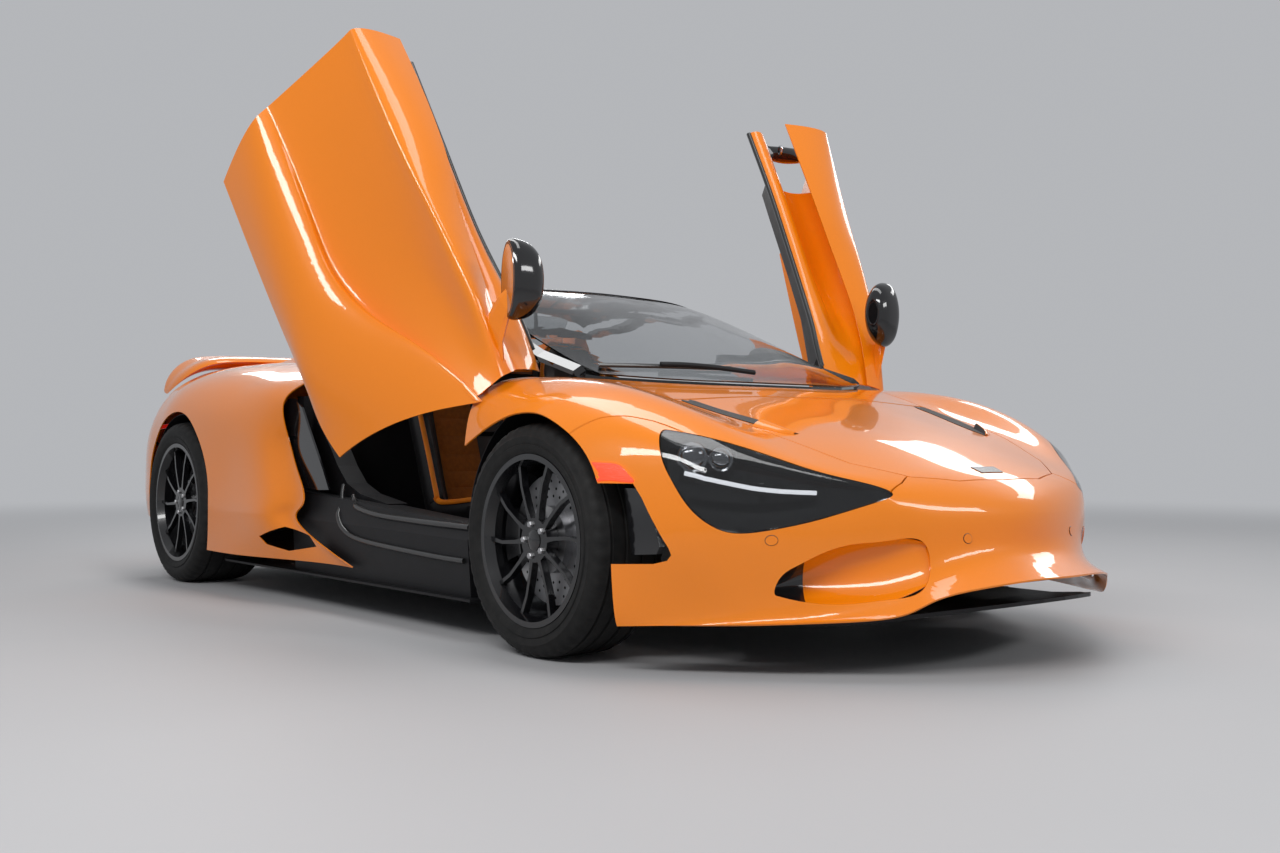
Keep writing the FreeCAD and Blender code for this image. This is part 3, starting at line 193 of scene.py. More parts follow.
def leather_material(name, colour, scale=380.0):
    m = Nodes(name, colour, 0.5)
    wrinkle = m.cells(scale, "DISTANCE_TO_EDGE")
    lighter = tuple(c * 1.5 + 0.002 for c in colour)
    m.colour(m.ramp(m.noise(9.0), colour, lighter))
    m.roughness(m.noise(40.0), 0.42, 0.58)
    m.bump(wrinkle, 0.25, 0.0008)
    return m.material


def suede_material(name, colour):
    m = Nodes(name, colour, 0.9)
    m.colour(m.ramp(m.noise(60.0, 6.0), tuple(c * 0.75 for c in colour), colour))
    m.bump(m.noise(1500.0, 2.0), 0.3, 0.0005)
    m.set("Sheen Weight", 0.35)
    m.set("Sheen Roughness", 0.4)
    return m.material


def glass_material(name, tint):
    m = Nodes(name, tint, 0.0)
    m.roughness(m.noise(25.0), 0.0, 0.015)
    m.set("Transmission Weight", 1.0)
    m.set("IOR", 1.45)
    return m.material


def rubber_material(name):
    m = Nodes(name, (0.008, 0.008, 0.008), 0.7)
    m.set("Specular IOR Level", 0.3)
    m.colour(m.ramp(m.noise(30.0, 4.0), (0.006, 0.006, 0.006), (0.013, 0.0125, 0.012)))
    m.roughness(m.noise(55.0), 0.58, 0.80)
    m.bump(m.noise(700.0, 2.0), 0.15, 0.0006)
    return m.material


def cast_material(name, colour):
    m = Nodes(name, colour, 0.45, 0.9)
    m.roughness(m.noise(45.0, 4.0), 0.38, 0.58)
    m.bump(m.noise(420.0, 3.0), 0.15, 0.0006)
    return m.material


def steel_material(name, colour, low, high):
    m = Nodes(name, colour, low, 1.0)
    m.roughness(m.noise(14.0, 4.0, (1, 30, 30)), low, high)
    return m.material


# Holes and turned rings of a brake disc; the first three are shares of the disc's radius.
SWEPT_FROM = 0.60
SWEPT_TO = 0.945
HOLE_ROW_PITCH = 0.115
HOLES_IN_ROW = 26.0
HOLE_ROW_SHIFT = 0.37  # of the pitch between holes, from one row to the next
HOLE_R = 0.0042
TURNED_RATE = 5200.0  # radians of ring per metre


def disc_material(name, node):
    """Machined brake disc: fine turned rings and rows of drilled holes about the wheel's own axle; the holes are
    painted near black as painted shade.
    """
    low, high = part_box(node)
    axle = (low + high) / 2
    outer = (high.x - low.x) / 2
    pitch = outer * HOLE_ROW_PITCH
    m = Nodes(name, (0.32, 0.32, 0.33), 0.3, 1.0)
    x, _, z = m.position()
    dx = m.calc("SUBTRACT", x, axle.x)
    dz = m.calc("SUBTRACT", z, axle.z)
    radius = m.length(dx, dz)
    rings = m.calc("SINE", m.calc("MULTIPLY", radius, TURNED_RATE))
    row = m.calc("DIVIDE", m.calc("SUBTRACT", radius, outer * SWEPT_FROM), pitch)
    across = m.calc("MULTIPLY", m.off_centre(row), pitch)
    turn = m.calc("MULTIPLY", m.calc("ARCTAN2", dz, dx), HOLES_IN_ROW / (2 * math.pi))
    shift = m.calc("MULTIPLY", m.calc("FLOOR", row), HOLE_ROW_SHIFT)
    step = m.calc("MULTIPLY", radius, 2 * math.pi / HOLES_IN_ROW)
    along = m.calc("MULTIPLY", m.off_centre(m.calc("ADD", turn, shift)), step)
    shaded_hole = m.calc("LESS_THAN", m.length(across, along), HOLE_R)
    swept = m.calc("MULTIPLY", m.calc("GREATER_THAN", radius, outer * SWEPT_FROM),
                   m.calc("LESS_THAN", radius, outer * SWEPT_TO))
    # Painted shade: inside the drilled holes the colour falls to near black, in place of the shade in real holes.
    m.colour(m.ramp(m.calc("MULTIPLY", shaded_hole, swept), (0.33, 0.33, 0.34), (0.004, 0.004, 0.004), 0.4, 0.6))
    m.roughness(m.noise(60.0), 0.25, 0.42)
    m.bump(rings, 0.05, 0.0003)
    return m.material


def exhaust_material(name):
    m = Nodes(name, (0.42, 0.41, 0.40), 0.2, 1.0)
    m.colour(m.ramp(m.noise(12.0, 2.0), (0.50, 0.46, 0.40), (0.24, 0.25, 0.32)))
    m.roughness(m.noise(80.0), 0.14, 0.30)
    return m.material


LAMP_RIB_RATE = 1400.0  # radians of rib per metre of height


def lamp_material(name, colour, strength, roughness=0.2):
    m = Nodes(name, colour, roughness)
    ribs = m.calc("SINE", m.calc("MULTIPLY", m.position()[2], LAMP_RIB_RATE))
    m.bump(ribs, 0.15, 0.0006)
    m.set("Emission Color", (*colour, 1))
    m.set("Emission Strength", strength)
    m.set("Coat Weight", 1.0)
    return m.material


def mesh_material(name):
    """Dark panel pressed into cells, as a stamped grille; the cell centres are painted near black as painted
    shade, and the walls between keep the plastic's own dark grey.
    """
    m = Nodes(name, (0.006, 0.006, 0.006), 0.5)
    cell = m.cells(75.0, "DISTANCE_TO_EDGE")
    # Painted shade: the colour runs from the walls' own dark grey to near black in the middle of each cell.
    m.colour(m.ramp(cell, (0.030, 0.030, 0.031), (0.002, 0.002, 0.002), 0.10, 0.18))
    m.roughness(m.noise(40.0), 0.35, 0.5)
    m.bump(cell, 0.6, 0.004)
    return m.material


ORANGE = (0.96, 0.25, 0.001)
PAINT = paint_material("papaya_paint", ORANGE)
GLOSS = gloss_material("piano_black")
PLASTIC = grain_material("moulded_black", (0.006, 0.006, 0.007), 0.42, 0.60)
SATIN = gloss_material("satin_black", (0.005, 0.005, 0.006), 0.20, 0.30)
GLASS = glass_material("tinted_screen", (0.55, 0.57, 0.58))
LENS = glass_material("smoked_lens", (0.42, 0.43, 0.44))
RUBBER = rubber_material("tyre_rubber")
SEAL = gloss_material("rubber_seal", (0.010, 0.010, 0.010), 0.28, 0.40)
ALLOY = cast_material("cast_alloy", (0.46, 0.46, 0.47))
CHROME = steel_material("bright_metal", (0.62, 0.62, 0.63), 0.08, 0.2)
CALIPER = gloss_material("caliper_enamel", (0.010, 0.010, 0.011), 0.16, 0.26)
EXHAUST = exhaust_material("heated_steel")
LEATHER = leather_material("black_leather", (0.007, 0.007, 0.008))
SUEDE = suede_material("orange_suede", (0.42, 0.12, 0.01))
PIPING = leather_material("orange_leather", (0.88, 0.25, 0.005), 520.0)
CARPET = suede_material("black_mesh_cloth", (0.004, 0.004, 0.004))
RED_LAMP = lamp_material("red_lamp", (0.60, 0.012, 0.006), 0.5)
AMBER_LAMP = lamp_material("side_lamp", (0.95, 0.035, 0.008), 1.6)
WHITE_LAMP = lamp_material("running_lamp", (0.95, 0.96, 1.0), 1.6)
MESH = mesh_material("honeycomb_mesh")
BLANK = grain_material("blank_badge", (0.06, 0.055, 0.05), 0.2, 0.35, 600.0, 0.05)

SLOT_LOOKS = {
    "paint": PAINT, "gloss_black": GLOSS, "black_plastic": PLASTIC, "dark_glass": GLASS, "lamp_glass": LENS,
    "red_lamp": RED_LAMP, "tyre": RUBBER, "rim_black": SATIN, "caliper_black": CALIPER, "alloy": ALLOY,
    "steel": EXHAUST, "cabin_trim": LEATHER,
}
DISC_LOOKS = {end: disc_material("turned_disc_" + end, "brake_disc_%s_left" % end)
              for end in ("front", "rear")}


def dress_frame():
    """Every CAD node gets the look of its material slot; the discs' looks follow their own radius."""
    for part in frame["record"]["subparts"]:
        node = NODES[part["node"]]
        name = part["material_slot"]
        if name == "disc_metal":
            look = DISC_LOOKS["front" if "front" in part["node"] else "rear"]
        else:
            look = SLOT_LOOKS[name]
        node.data.materials.clear()
        node.data.materials.append(look)


# ---------------------------------------------------------------- shape helpers
SHARP_ANGLE = math.radians(42)
PATCH_SINK = 0.0015
trees = {}


def tree(*nodes):
    """Ray-cast tree of one or more CAD nodes."""
    if nodes not in trees:
        verts, faces = [], []
        for name in nodes:
            start = len(verts)
            mesh = NODES[name].data
            verts += [v.co.copy() for v in mesh.vertices]
            faces += [[start + i for i in p.vertices] for p in mesh.polygons]
        trees[nodes] = BVHTree.FromPolygons(verts, faces)
    return trees[nodes]


def land(nodes, point, direction):
    """Where a ray from point first meets the nodes, and the surface normal that faces the ray."""
    direction = Vector(direction).normalized()
    spot, normal, _, _ = tree(*nodes).ray_cast(Vector(point), direction)
    if spot is None:
        return None, None
    return spot, normal if normal.dot(direction) < 0 else -normal


def spaced(first, last, count):
    """Even steps from first to last, both included."""
    return [first + (last - first) * k / (count - 1) for k in range(count)]


def circle(count):
    """Cosine and sine at each of count even steps round a circle."""
    turns = [2 * math.pi * k / count for k in range(count)]
    return [(math.cos(t), math.sin(t)) for t in turns]


def on_side(point, side):
    """A point drawn for the left side of the car, on the side that is asked for."""
    return Vector((point[0], point[1] * SIDES[side], point[2]))


def door_frame(side):
    """Turn that carries a point of the shut door to the raised door that the frame holds."""
    joint = JOINTS["door_%s_swing" % side]
    pivot = Matrix.Translation(Vector(joint["pos_m"]))
    swing = -math.radians(joint["range_deg"][0])
    return pivot @ Matrix.Rotation(swing, 4, Vector(joint["axis"])) @ pivot.inverted()


def rounded(points, steps=5, closed=True):
    """Smooth curve through the points, with a number of steps between each point and the next."""
    pts = [Vector(p) for p in points]
    count = len(pts)

    def near(k):
        return pts[k % count] if closed else pts[min(max(k, 0), count - 1)]

    out = []
    for i in range(count if closed else count - 1):
        a, b, c, d = near(i - 1), near(i), near(i + 1), near(i + 2)
        for s in range(steps):
            t = s / steps
            out.append(0.5 * (2 * b + (c - a) * t + (2 * a - 5 * b + 4 * c - d) * t * t
                              + (3 * b - a - 3 * c + d) * t * t * t))
    if not closed:
        out.append(pts[-1])
    return out


def band_faces(rings, count, start=0, closed=False):
    """Quads between neighbouring rings of count points; closed joins the last ring to the first."""
    faces = []
    for ring in range(rings if closed else rings - 1):
        here = start + ring * count
        there = start + (ring + 1) % rings * count
        for c in range(count):
            n = (c + 1) % count
            faces.append([here + c, here + n, there + n, there + c])
    return faces


def skin_faces(rows, cols, turned=False):
    """Faces of a closed skin: a grid of points, the grid behind it, and the rim that joins them."""
    total = rows * cols
    faces = []
    for i in range(rows - 1):
        for j in range(cols - 1):
            a = i * cols + j
            faces.append([a, a + cols, a + cols + 1, a + 1])
            faces.append([total + a, total + a + 1, total + a + cols + 1, total + a + cols])
    for i in range(rows - 1):
        a, b = i * cols, (i + 1) * cols
        faces.append([a, total + a, total + b, b])
        a, b = a + cols - 1, b + cols - 1
        faces.append([a, b, total + b, total + a])
    for j in range(cols - 1):
        a, b = j, (rows - 1) * cols + j
        faces.append([a, a + 1, total + a + 1, total + a])
        faces.append([b, total + b, total + b + 1, b + 1])
    return [[a, d, c, b] for a, b, c, d in faces] if turned else faces


def piece(name, verts, faces, look, body, smooth=True):
    """New object of one mesh that rides on a body and takes the look that it is given."""
    mesh = bpy.data.meshes.new(name)
    mesh.from_pydata([tuple(v) for v in verts], [], faces)
    mesh.update()
    for p in mesh.polygons:
        p.use_smooth = smooth
    if smooth:
        mesh.set_sharp_from_angle(angle=SHARP_ANGLE)
    mesh.materials.append(look)
    made = bpy.data.objects.new(name, mesh)
    bpy.context.scene.collection.objects.link(made)
    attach(made, body)
    return made


def patch(name, outline, direction, nodes, look, body, height=0.0015, cell=0.02):
    """Thin panel on the surface of the nodes: the outline is drawn in space and dropped along direction."""
    direction = Vector(direction).normalized()
    bm = bmesh.new()
    bm.faces.new([bm.verts.new(p) for p in outline])
    across = direction.orthogonal().normalized()
    for axis in (across, direction.cross(across)):
        values = [Vector(p).dot(axis) for p in outline]
        cut = math.ceil(min(values) / cell) * cell
        while cut < max(values):
            bmesh.ops.bisect_plane(bm, geom=bm.verts[:] + bm.edges[:] + bm.faces[:], plane_co=axis * cut,
                                   plane_no=axis, dist=1e-6)
            cut += cell
    normals = {}
    lost = []
    for v in bm.verts:
        spot, normal = land(nodes, v.co, direction)
        if spot is None:
            lost.append(v)
            continue
        v.co = spot - normal * PATCH_SINK
        normals[v] = normal
    bmesh.ops.delete(bm, geom=lost, context="VERTS")
    verts = list(bm.verts)
    index = {v: i for i, v in enumerate(verts)}
    low = [v.co.copy() for v in verts]
    top = [v.co + normals[v] * (height + PATCH_SINK) for v in verts]
    count = len(verts)
    under = [[index[v] for v in f.verts] for f in bm.faces]
    faces = [[i + count for i in f] for f in under] + [f[::-1] for f in under]
    for edge in bm.edges:
        if len(edge.link_faces) == 1:
            corner = [c for c in edge.link_faces[0].loops if c.edge == edge][0]
            a, b = index[corner.vert], index[corner.link_loop_next.vert]
            faces.append([a, b, b + count, a + count])
    bm.free()
    return piece(name, low + top, faces, look, body)


def tube(name, points, radius, look, body, closed=False, sides=10, flat=1.0):
    """Round or flattened bar that follows the points."""
    pts = [Vector(p) for p in points]
    count = len(pts)
    verts = []
    side = None
    for i, p in enumerate(pts):
        ahead = pts[(i + 1) % count] if closed or i < count - 1 else p
        behind = pts[i - 1] if closed or i > 0 else p
        tangent = (ahead - behind).normalized()
        if side is None:
            side = tangent.orthogonal().normalized()
        side = (side - tangent * side.dot(tangent)).normalized()
        up = tangent.cross(side)
        for cosine, sine in circle(sides):
            verts.append(p + side * (cosine * radius) + up * (sine * radius * flat))
    faces = band_faces(count, sides, closed=closed)
    if not closed:
        faces.append(list(range(sides))[::-1])
        faces.append([(count - 1) * sides + k for k in range(sides)])
    return piece(name, verts, faces, look, body)


def lathe(name, section, centre, look, body, segments=96, shape=None):
    """Closed ring turned about the wheel's axle; section points are (offset across the car, radius)."""
    verts, faces = [], []
    count = len(section)
    for k, (cosine, sine) in enumerate(circle(segments)):
        for offset, radius in section:
            r = shape(k, offset, radius) if shape else radius
            verts.append(centre + Vector((cosine * r, offset, sine * r)))
    for k in range(segments):
        n = (k + 1) % segments
        for i in range(count):
            j = (i + 1) % count
            faces.append([k * count + i, n * count + i, n * count + j, k * count + j])
    return piece(name, verts, faces, look, body)


def sheet(name, rows, thick, look, body):
    """Closed skin of even thickness over a grid of points; rows run one way and the columns across."""
    count, cols = len(rows), len(rows[0])
    top, low = [], []
    for i in range(count):
        for j in range(cols):
            along = rows[min(i + 1, count - 1)][j] - rows[max(i - 1, 0)][j]
            across = rows[i][min(j + 1, cols - 1)] - rows[i][max(j - 1, 0)]
            normal = along.cross(across).normalized()
            top.append(rows[i][j])
            low.append(rows[i][j] - normal * thick)
    return piece(name, top + low, skin_faces(count, cols), look, body)


# ---------------------------------------------------------------- tyres and wheels
CORNERS = [(end, side) for end in ("front", "rear") for side in SIDES]
# Half of a tyre's section: distance in from its side, and height over the rim or depth under the tread.
TYRE_WALL = [(0.013, 0.0005), (0.003, 0.012), (0.001, 0.026), (0.004, 0.028), (0.002, 0.034), (0.0, 0.048)]
TYRE_SHOULDER = [(0.003, 0.034), (0.006, 0.026), (0.012, 0.014), (0.022, 0.006), (0.034, 0.003)]
GROOVES = (0.60, 0.22)  # as shares of half the tyre's width
GROOVE_SECTION = [(0.0055, 0.0), (0.0040, 0.006), (-0.0040, 0.006), (-0.0055, 0.0)]
TYRE_SEGMENTS = 192
BLOCK_SEGMENTS = 4
BLOCK_FROM = 0.66  # as a share of half the tyre's width
BLOCK_DEEP = 0.02
BLOCK_CUT = 0.0045

HUB_INSET = 0.020
CAP_SECTION = [(-0.004, 0.0005), (-0.004, 0.030), (0.002, 0.030), (0.004, 0.027), (0.0055, 0.014),
               (0.006, 0.0005)]
CAP_SEGMENTS = 40
BOLTS = 5
BOLT_SIDES = 6
BOLT_CIRCLE_R = 0.046
BOLT_SECTION = [(-0.004, 0.0095), (0.006, 0.0095), (0.009, 0.0075)]
FLANGE_SECTION = [(0.002, 0.004), (0.002, 0.0125), (0.012, 0.0165), (0.012, 0.002)]


def tyre_section(half, outer, inner):
    """Whole section of the tyre, from the outer bead over the tread to the inner bead."""
    right = [(half - w, inner + r) for w, r in TYRE_WALL]
    right += [(half - w, outer - r) for w, r in TYRE_SHOULDER]
    for share in GROOVES:
        right += [(share * half + w, outer - drop) for w, drop in GROOVE_SECTION]
    return right + [(-w, r) for w, r in right[::-1]]


def build_tyre(end, side):
    node = "tyre_%s_%s" % (end, side)
    low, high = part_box(node)
    centre = (low + high) / 2
    outer = (high.z - low.z) / 2
    half = (high.y - low.y) / 2
    rim_low, rim_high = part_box("rim_%s_%s" % (end, side))
    inner = (rim_high.z - rim_low.z) / 2

    def blocks(k, offset, radius):
        cut = k % BLOCK_SEGMENTS == 0 and abs(offset) > half * BLOCK_FROM and radius > outer - BLOCK_DEEP
        return radius - BLOCK_CUT if cut else radius

    tyre = lathe("tread_%s_%s" % (end, side), tyre_section(half, outer, inner), centre, RUBBER,
                 "wheel_%s_%s" % (end, side), TYRE_SEGMENTS, blocks)
    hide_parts(node)


def build_hub_trim(end, side):
    """Centre cap, wheel bolts and rim flange of each wheel."""
    low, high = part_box("rim_%s_%s" % (end, side))
    centre = (low + high) / 2
    lip = (high.z - low.z) / 2
    half = (high.y - low.y) / 2
    sign = SIDES[side]
    face = sign * (half - HUB_INSET)
    body = "wheel_%s_%s" % (end, side)
    cap = [(face + sign * depth, r) for depth, r in CAP_SECTION]
    lathe("wheel_cap_%s_%s" % (end, side), cap, centre, GLOSS, body, CAP_SEGMENTS)
    verts, faces = [], []
    for k in range(BOLTS):
        a = 2 * math.pi * (k + 0.5) / BOLTS
        spot = centre + Vector((math.cos(a) * BOLT_CIRCLE_R, face, math.sin(a) * BOLT_CIRCLE_R))
        start = len(verts)
        for depth, r in BOLT_SECTION:
            verts += [spot + Vector((cosine * r, sign * depth, sine * r))
                      for cosine, sine in circle(BOLT_SIDES)]
        faces += band_faces(len(BOLT_SECTION), BOLT_SIDES, start)
        faces.append([len(verts) - BOLT_SIDES + c for c in range(BOLT_SIDES)])
        faces.append([start + c for c in range(BOLT_SIDES)][::-1])
    piece("wheel_bolts_%s_%s" % (end, side), verts, faces, ALLOY, body, smooth=False)
    ring = [(sign * (half - inset), lip - drop) for inset, drop in FLANGE_SECTION]
    lathe("rim_flange_%s_%s" % (end, side), ring, centre, SATIN, body)


# ---------------------------------------------------------------- front lamps
LENSES = ("headlamp_lenses",)
LAMP_AIM = (0.62, 0.62, 0.48)
LAMP_AWAY = 0.2
RUNNING_LAMP_LINE = [(1.700, 0.830, 0.512), (1.760, 0.790, 0.502), (1.846, 0.702, 0.483),
                     (1.930, 0.585, 0.474)]
RUNNING_LAMP_DEEP = 0.020
RUNNING_LAMP_R = 0.0065
BEZEL_BEHIND = 0.008
BEZEL_R = 0.013
PROJECTOR_SPOT = Vector((1.690, 0.795, 0.572))
PROJECTOR_ROW = Vector((0.62, -0.74, -0.05))
PROJECTORS = [(0.0, 0.032), (0.075, 0.026)]  # place along the row, radius
PROJECTOR_DEEP = 0.052
PROJECTOR_AIM = (0.80, 0.60, 0.0)
PROJECTOR_SECTION = [(0.0, 1.25), (0.006, 1.28), (0.010, 1.18), (0.008, 1.0), (0.013, 0.86), (0.018, 0.55),
                     (0.020, 0.15)]  # depth, share of the radius
PROJECTOR_SIDES = 28


def build_front_lamps(side):
    """Running lamp with its bezel, and two projectors, behind each lens."""
    aim = on_side(Vector(LAMP_AIM).normalized(), side)
    line = []
    for p in rounded(RUNNING_LAMP_LINE, 6, closed=False):
        spot, normal = land(LENSES, on_side(p, side) + aim * LAMP_AWAY, -aim)
        if spot is not None:
            line.append(spot - normal * RUNNING_LAMP_DEEP)
    tube("running_lamp_" + side, line, RUNNING_LAMP_R, WHITE_LAMP, "car_body", sides=12, flat=1.5)
    tube("running_lamp_bezel_" + side, [p - aim * BEZEL_BEHIND for p in line], BEZEL_R, SATIN, "car_body",
         sides=12)
    for k, (shift, size) in enumerate(PROJECTORS):
        start = on_side(PROJECTOR_SPOT + PROJECTOR_ROW * shift, side) + aim * LAMP_AWAY
        spot, _ = land(LENSES, start, -aim)
        centre = spot - aim * PROJECTOR_DEEP
        out = on_side(PROJECTOR_AIM, side).normalized()
        across = out.cross(Vector((0, 0, 1))).normalized()
        up = across.cross(out)
        verts = []
        for depth, share in PROJECTOR_SECTION:
            for cosine, sine in circle(PROJECTOR_SIDES):
                verts.append(centre + out * depth + (across * cosine + up * sine) * (size * share))
        rings = len(PROJECTOR_SECTION)
        faces = band_faces(rings, PROJECTOR_SIDES)
        faces.append([(rings - 1) * PROJECTOR_SIDES + c for c in range(PROJECTOR_SIDES)])
        piece("projector_%d_%s" % (k + 1, side), verts, faces, CHROME, "car_body")


# ---------------------------------------------------------------- markers, sensors, bonnet vents and badge
BUMPER = ("front_bumper",)
BONNET = ("bonnet",)
# Where rays towards the skin start: ahead of it, beside it or above it.
SENSOR_RAY_X = 2.6
MARKER_RAY_Y = 1.05
VENT_RAY_Z = 0.95
BADGE_RAY_Z = 0.9
LIP_RAY_Z = 1.0
MARKER_OUTLINE = [(1.486, 0.500), (1.478, 0.542), (1.520, 0.546), (1.562, 0.541), (1.588, 0.520),
                  (1.606, 0.498), (1.545, 0.502)]
BONNET_VENT = [(1.330, 0.536), (1.338, 0.512), (1.375, 0.497), (1.458, 0.480), (1.560, 0.446), (1.640, 0.424),
               (1.704, 0.424), (1.676, 0.460), (1.590, 0.498), (1.495, 0.526), (1.400, 0.544), (1.350, 0.546)]
BADGE_OUTLINE = [(2.000, -0.052), (2.000, 0.052), (2.034, 0.048), (2.034, -0.048)]
SENSOR_SPOTS = [(0.693, 0.354), (0.235, 0.352)]
SENSOR_R = 0.012
SENSOR_SIDES = 20
SENSOR_GROOVE_R = 0.0016
VENT_LIP = [(1.704, 0.426, 0.002), (1.676, 0.456, 0.012), (1.590, 0.498, 0.022), (1.495, 0.526, 0.026),
            (1.400, 0.544, 0.023), (1.350, 0.546, 0.015), (1.332, 0.534, 0.004)]  # x, y, height
LIP_RUN = 0.008
LIP_SLOPE = 1.6
LIP_BULGE = 0.004
LIP_SINK = 0.001
LIP_SKIN = 0.002
LIP_WALL_RUN = 0.012
LIP_WALL_SKIN = 0.001


def build_front_trim(side):
    """Side marker, bonnet vent and parking sensors."""
    sign = SIDES[side]
    outline = [Vector((x, MARKER_RAY_Y * sign, z)) for x, z in MARKER_OUTLINE]
    patch("side_marker_" + side, rounded(outline, 4), (0, -sign, 0), BUMPER, AMBER_LAMP, "car_body",
          height=0.003, cell=0.015)
    vent = [Vector((x, y * sign, VENT_RAY_Z)) for x, y in BONNET_VENT]
    patch("bonnet_vent_" + side, rounded(vent, 4), (0, 0, -1), BONNET, CARPET, "bonnet_lid")
    for k, (y, z) in enumerate(SENSOR_SPOTS):
        ring = [Vector((SENSOR_RAY_X, y * sign + SENSOR_R * cosine, z + SENSOR_R * sine))
                for cosine, sine in circle(SENSOR_SIDES)]
        patch("parking_sensor_%d_%s" % (k + 1, side), ring, (-1, 0, 0), BUMPER, PAINT, "car_body",
              height=0.002)
        groove = [land(BUMPER, p, (-1, 0, 0))[0] for p in ring]
        tube("sensor_groove_%d_%s" % (k + 1, side), [p for p in groove if p is not None], SENSOR_GROOVE_R,
             SEAL, "car_body", closed=True, sides=6)


def build_vent_lip(side):
    """Raised lip along the outboard edge of a bonnet vent, black on its inner wall."""
    sign = SIDES[side]
    outer, inner = [], []
    for p in rounded(VENT_LIP, closed=False):
        spot, _ = land(BONNET, (p.x, p.y * sign, LIP_RAY_Z), (0, 0, -1))
        foot_y = (p.y + LIP_RUN + p.z * LIP_SLOPE) * sign
        foot, _ = land(BONNET, (p.x, foot_y, LIP_RAY_Z), (0, 0, -1))
        if spot is None or foot is None:
            continue
        crest = spot + Vector((0, 0, p.z))
        row = []
        for v in spaced(0.0, 1.0, 7):
            bulge = Vector((0, 0, LIP_BULGE * math.sin(math.pi * v)))
            row.append(foot.lerp(crest, v) + bulge - Vector((0, 0, LIP_SINK)))
        outer.append(row[::-1] if side == "left" else row)
        wall_foot = spot - Vector((0, LIP_WALL_RUN * sign, 0.0))
        wall = [crest.lerp(wall_foot, v) for v in (0.0, 0.33, 0.66, 1.0)]
        inner.append(wall[::-1] if side == "left" else wall)
    sheet("bonnet_vent_lip_" + side, outer, LIP_SKIN, PAINT, "bonnet_lid")
    sheet("bonnet_vent_wall_" + side, inner, LIP_WALL_SKIN, PLASTIC, "bonnet_lid")


def build_badge():
    outline = [Vector((x, y, BADGE_RAY_Z)) for x, y in BADGE_OUTLINE]
    patch("blank_nose_badge", outline, (0, 0, -1), BONNET, BLANK, "bonnet_lid", height=0.002)


# ---------------------------------------------------------------- wiper
SCREEN_RAY_Z = 1.6
WIPER_HINGE = (1.120, -0.120)
WIPER_TIP = (0.995, -0.560)
WIPER_BOW = 0.03
BLADE_LIFT = 0.007
BLADE_R = 0.006
ARM_SPINDLE = (1.165, -0.060)
SPINDLE_LIFT = 0.010
SPINDLE_RISE = 0.004
ARM_AHEAD = 0.035
ARM_LIFT = 0.017
ARM_R = 0.007


def on_screen(x, y, lift):
    spot, normal = land(("windscreen",), (x, y, SCREEN_RAY_Z), (0, 0, -1))
    return spot + normal * lift


def along_wiper(t, ahead, lift):
    """Point over the screen at share t of the way from the wiper's hinge to its tip."""
    x, y = [a + (b - a) * t for a, b in zip(WIPER_HINGE, WIPER_TIP)]
    return on_screen(x + ahead, y, lift)


def build_wiper():
    blade = [along_wiper(t, WIPER_BOW * math.sin(math.pi * t), BLADE_LIFT) for t in spaced(0.0, 1.0, 17)]
    tube("wiper_blade", blade, BLADE_R, SEAL, "car_body", sides=8, flat=1.4)
    arm = [on_screen(*ARM_SPINDLE, SPINDLE_LIFT) + Vector((0, 0, SPINDLE_RISE))]
    arm += [along_wiper(t, ARM_AHEAD, ARM_LIFT) for t in (0.15, 0.3, 0.45, 0.6)]
    tube("wiper_arm", rounded(arm, 4, closed=False), ARM_R, PLASTIC, "car_body", sides=8, flat=1.3)


# ---------------------------------------------------------------- door seals
SEAL_OUTER = [(-0.430, 0.760), (-0.352, 0.640), (-0.256, 0.508), (-0.188, 0.408), (-0.120, 0.330),
              (-0.060, 0.290), (0.020, 0.268), (0.180, 0.255), (0.400, 0.245), (0.600, 0.238), (0.735, 0.236)]
SEAL_INNER = [(-0.400, 0.770), (-0.330, 0.640), (-0.250, 0.530), (-0.170, 0.450), (-0.090, 0.400),
              (0.000, 0.372), (0.150, 0.354), (0.350, 0.346), (0.550, 0.341), (0.735, 0.338)]
SEALS = (("outer", SEAL_OUTER, 0.009), ("inner", SEAL_INNER, 0.010))  # name, line in x and z, radius
SEAL_RAY_Y = 1.2
SEAL_PROUD = 0.004
SEAL_SPREAD = 3  # points on each side that a point of the seal is levelled with


def build_seals(side):
    """Two seals along each door opening: each follows the body, levelled in y."""
    sign = SIDES[side]
    for name, line, radius in SEALS:
        path = []
        for p in rounded([(x, z, 0) for x, z in line], closed=False):
            spot, _ = land(("tub", "vent_faces"), (p.x, SEAL_RAY_Y * sign, p.y), (0, -sign, 0))
            if spot is not None:
                path.append(spot + Vector((0, SEAL_PROUD * sign, 0)))
        smooth = []
        for i, p in enumerate(path):
            near = path[max(0, i - SEAL_SPREAD):i + SEAL_SPREAD + 1]
            smooth.append(Vector((p.x, sum(q.y for q in near) / len(near), p.z)))
        tube("door_seal_%s_%s" % (name, side), smooth, radius, SEAL, "car_body")


# ---------------------------------------------------------------- lower front intakes
SCOOP_ROWS = [
    # x, y, low z, high z, depth of the recess
    (1.885, 0.698, 0.216, 0.240, 0.070), (1.926, 0.652, 0.202, 0.290, 0.080),
    (1.965, 0.605, 0.194, 0.320, 0.076), (2.010, 0.545, 0.194, 0.342, 0.066),
    (2.060, 0.470, 0.204, 0.350, 0.052), (2.100, 0.402, 0.232, 0.346, 0.034),
    (2.124, 0.352, 0.262, 0.326, 0.016),
]
SCOOP_AIM = Vector((0.75, 0.62, 0.0)).normalized()
SCOOP_AWAY = 0.3
SCOOP_EDGE = 0.0075
SCOOP_LAP = 0.007
SCOOP_REACH = 0.10
SCOOP_COLUMNS = 15
SCOOP_FULLNESS = 0.55
SCOOP_SKIN = 0.002
DUCT_ROWS = 7


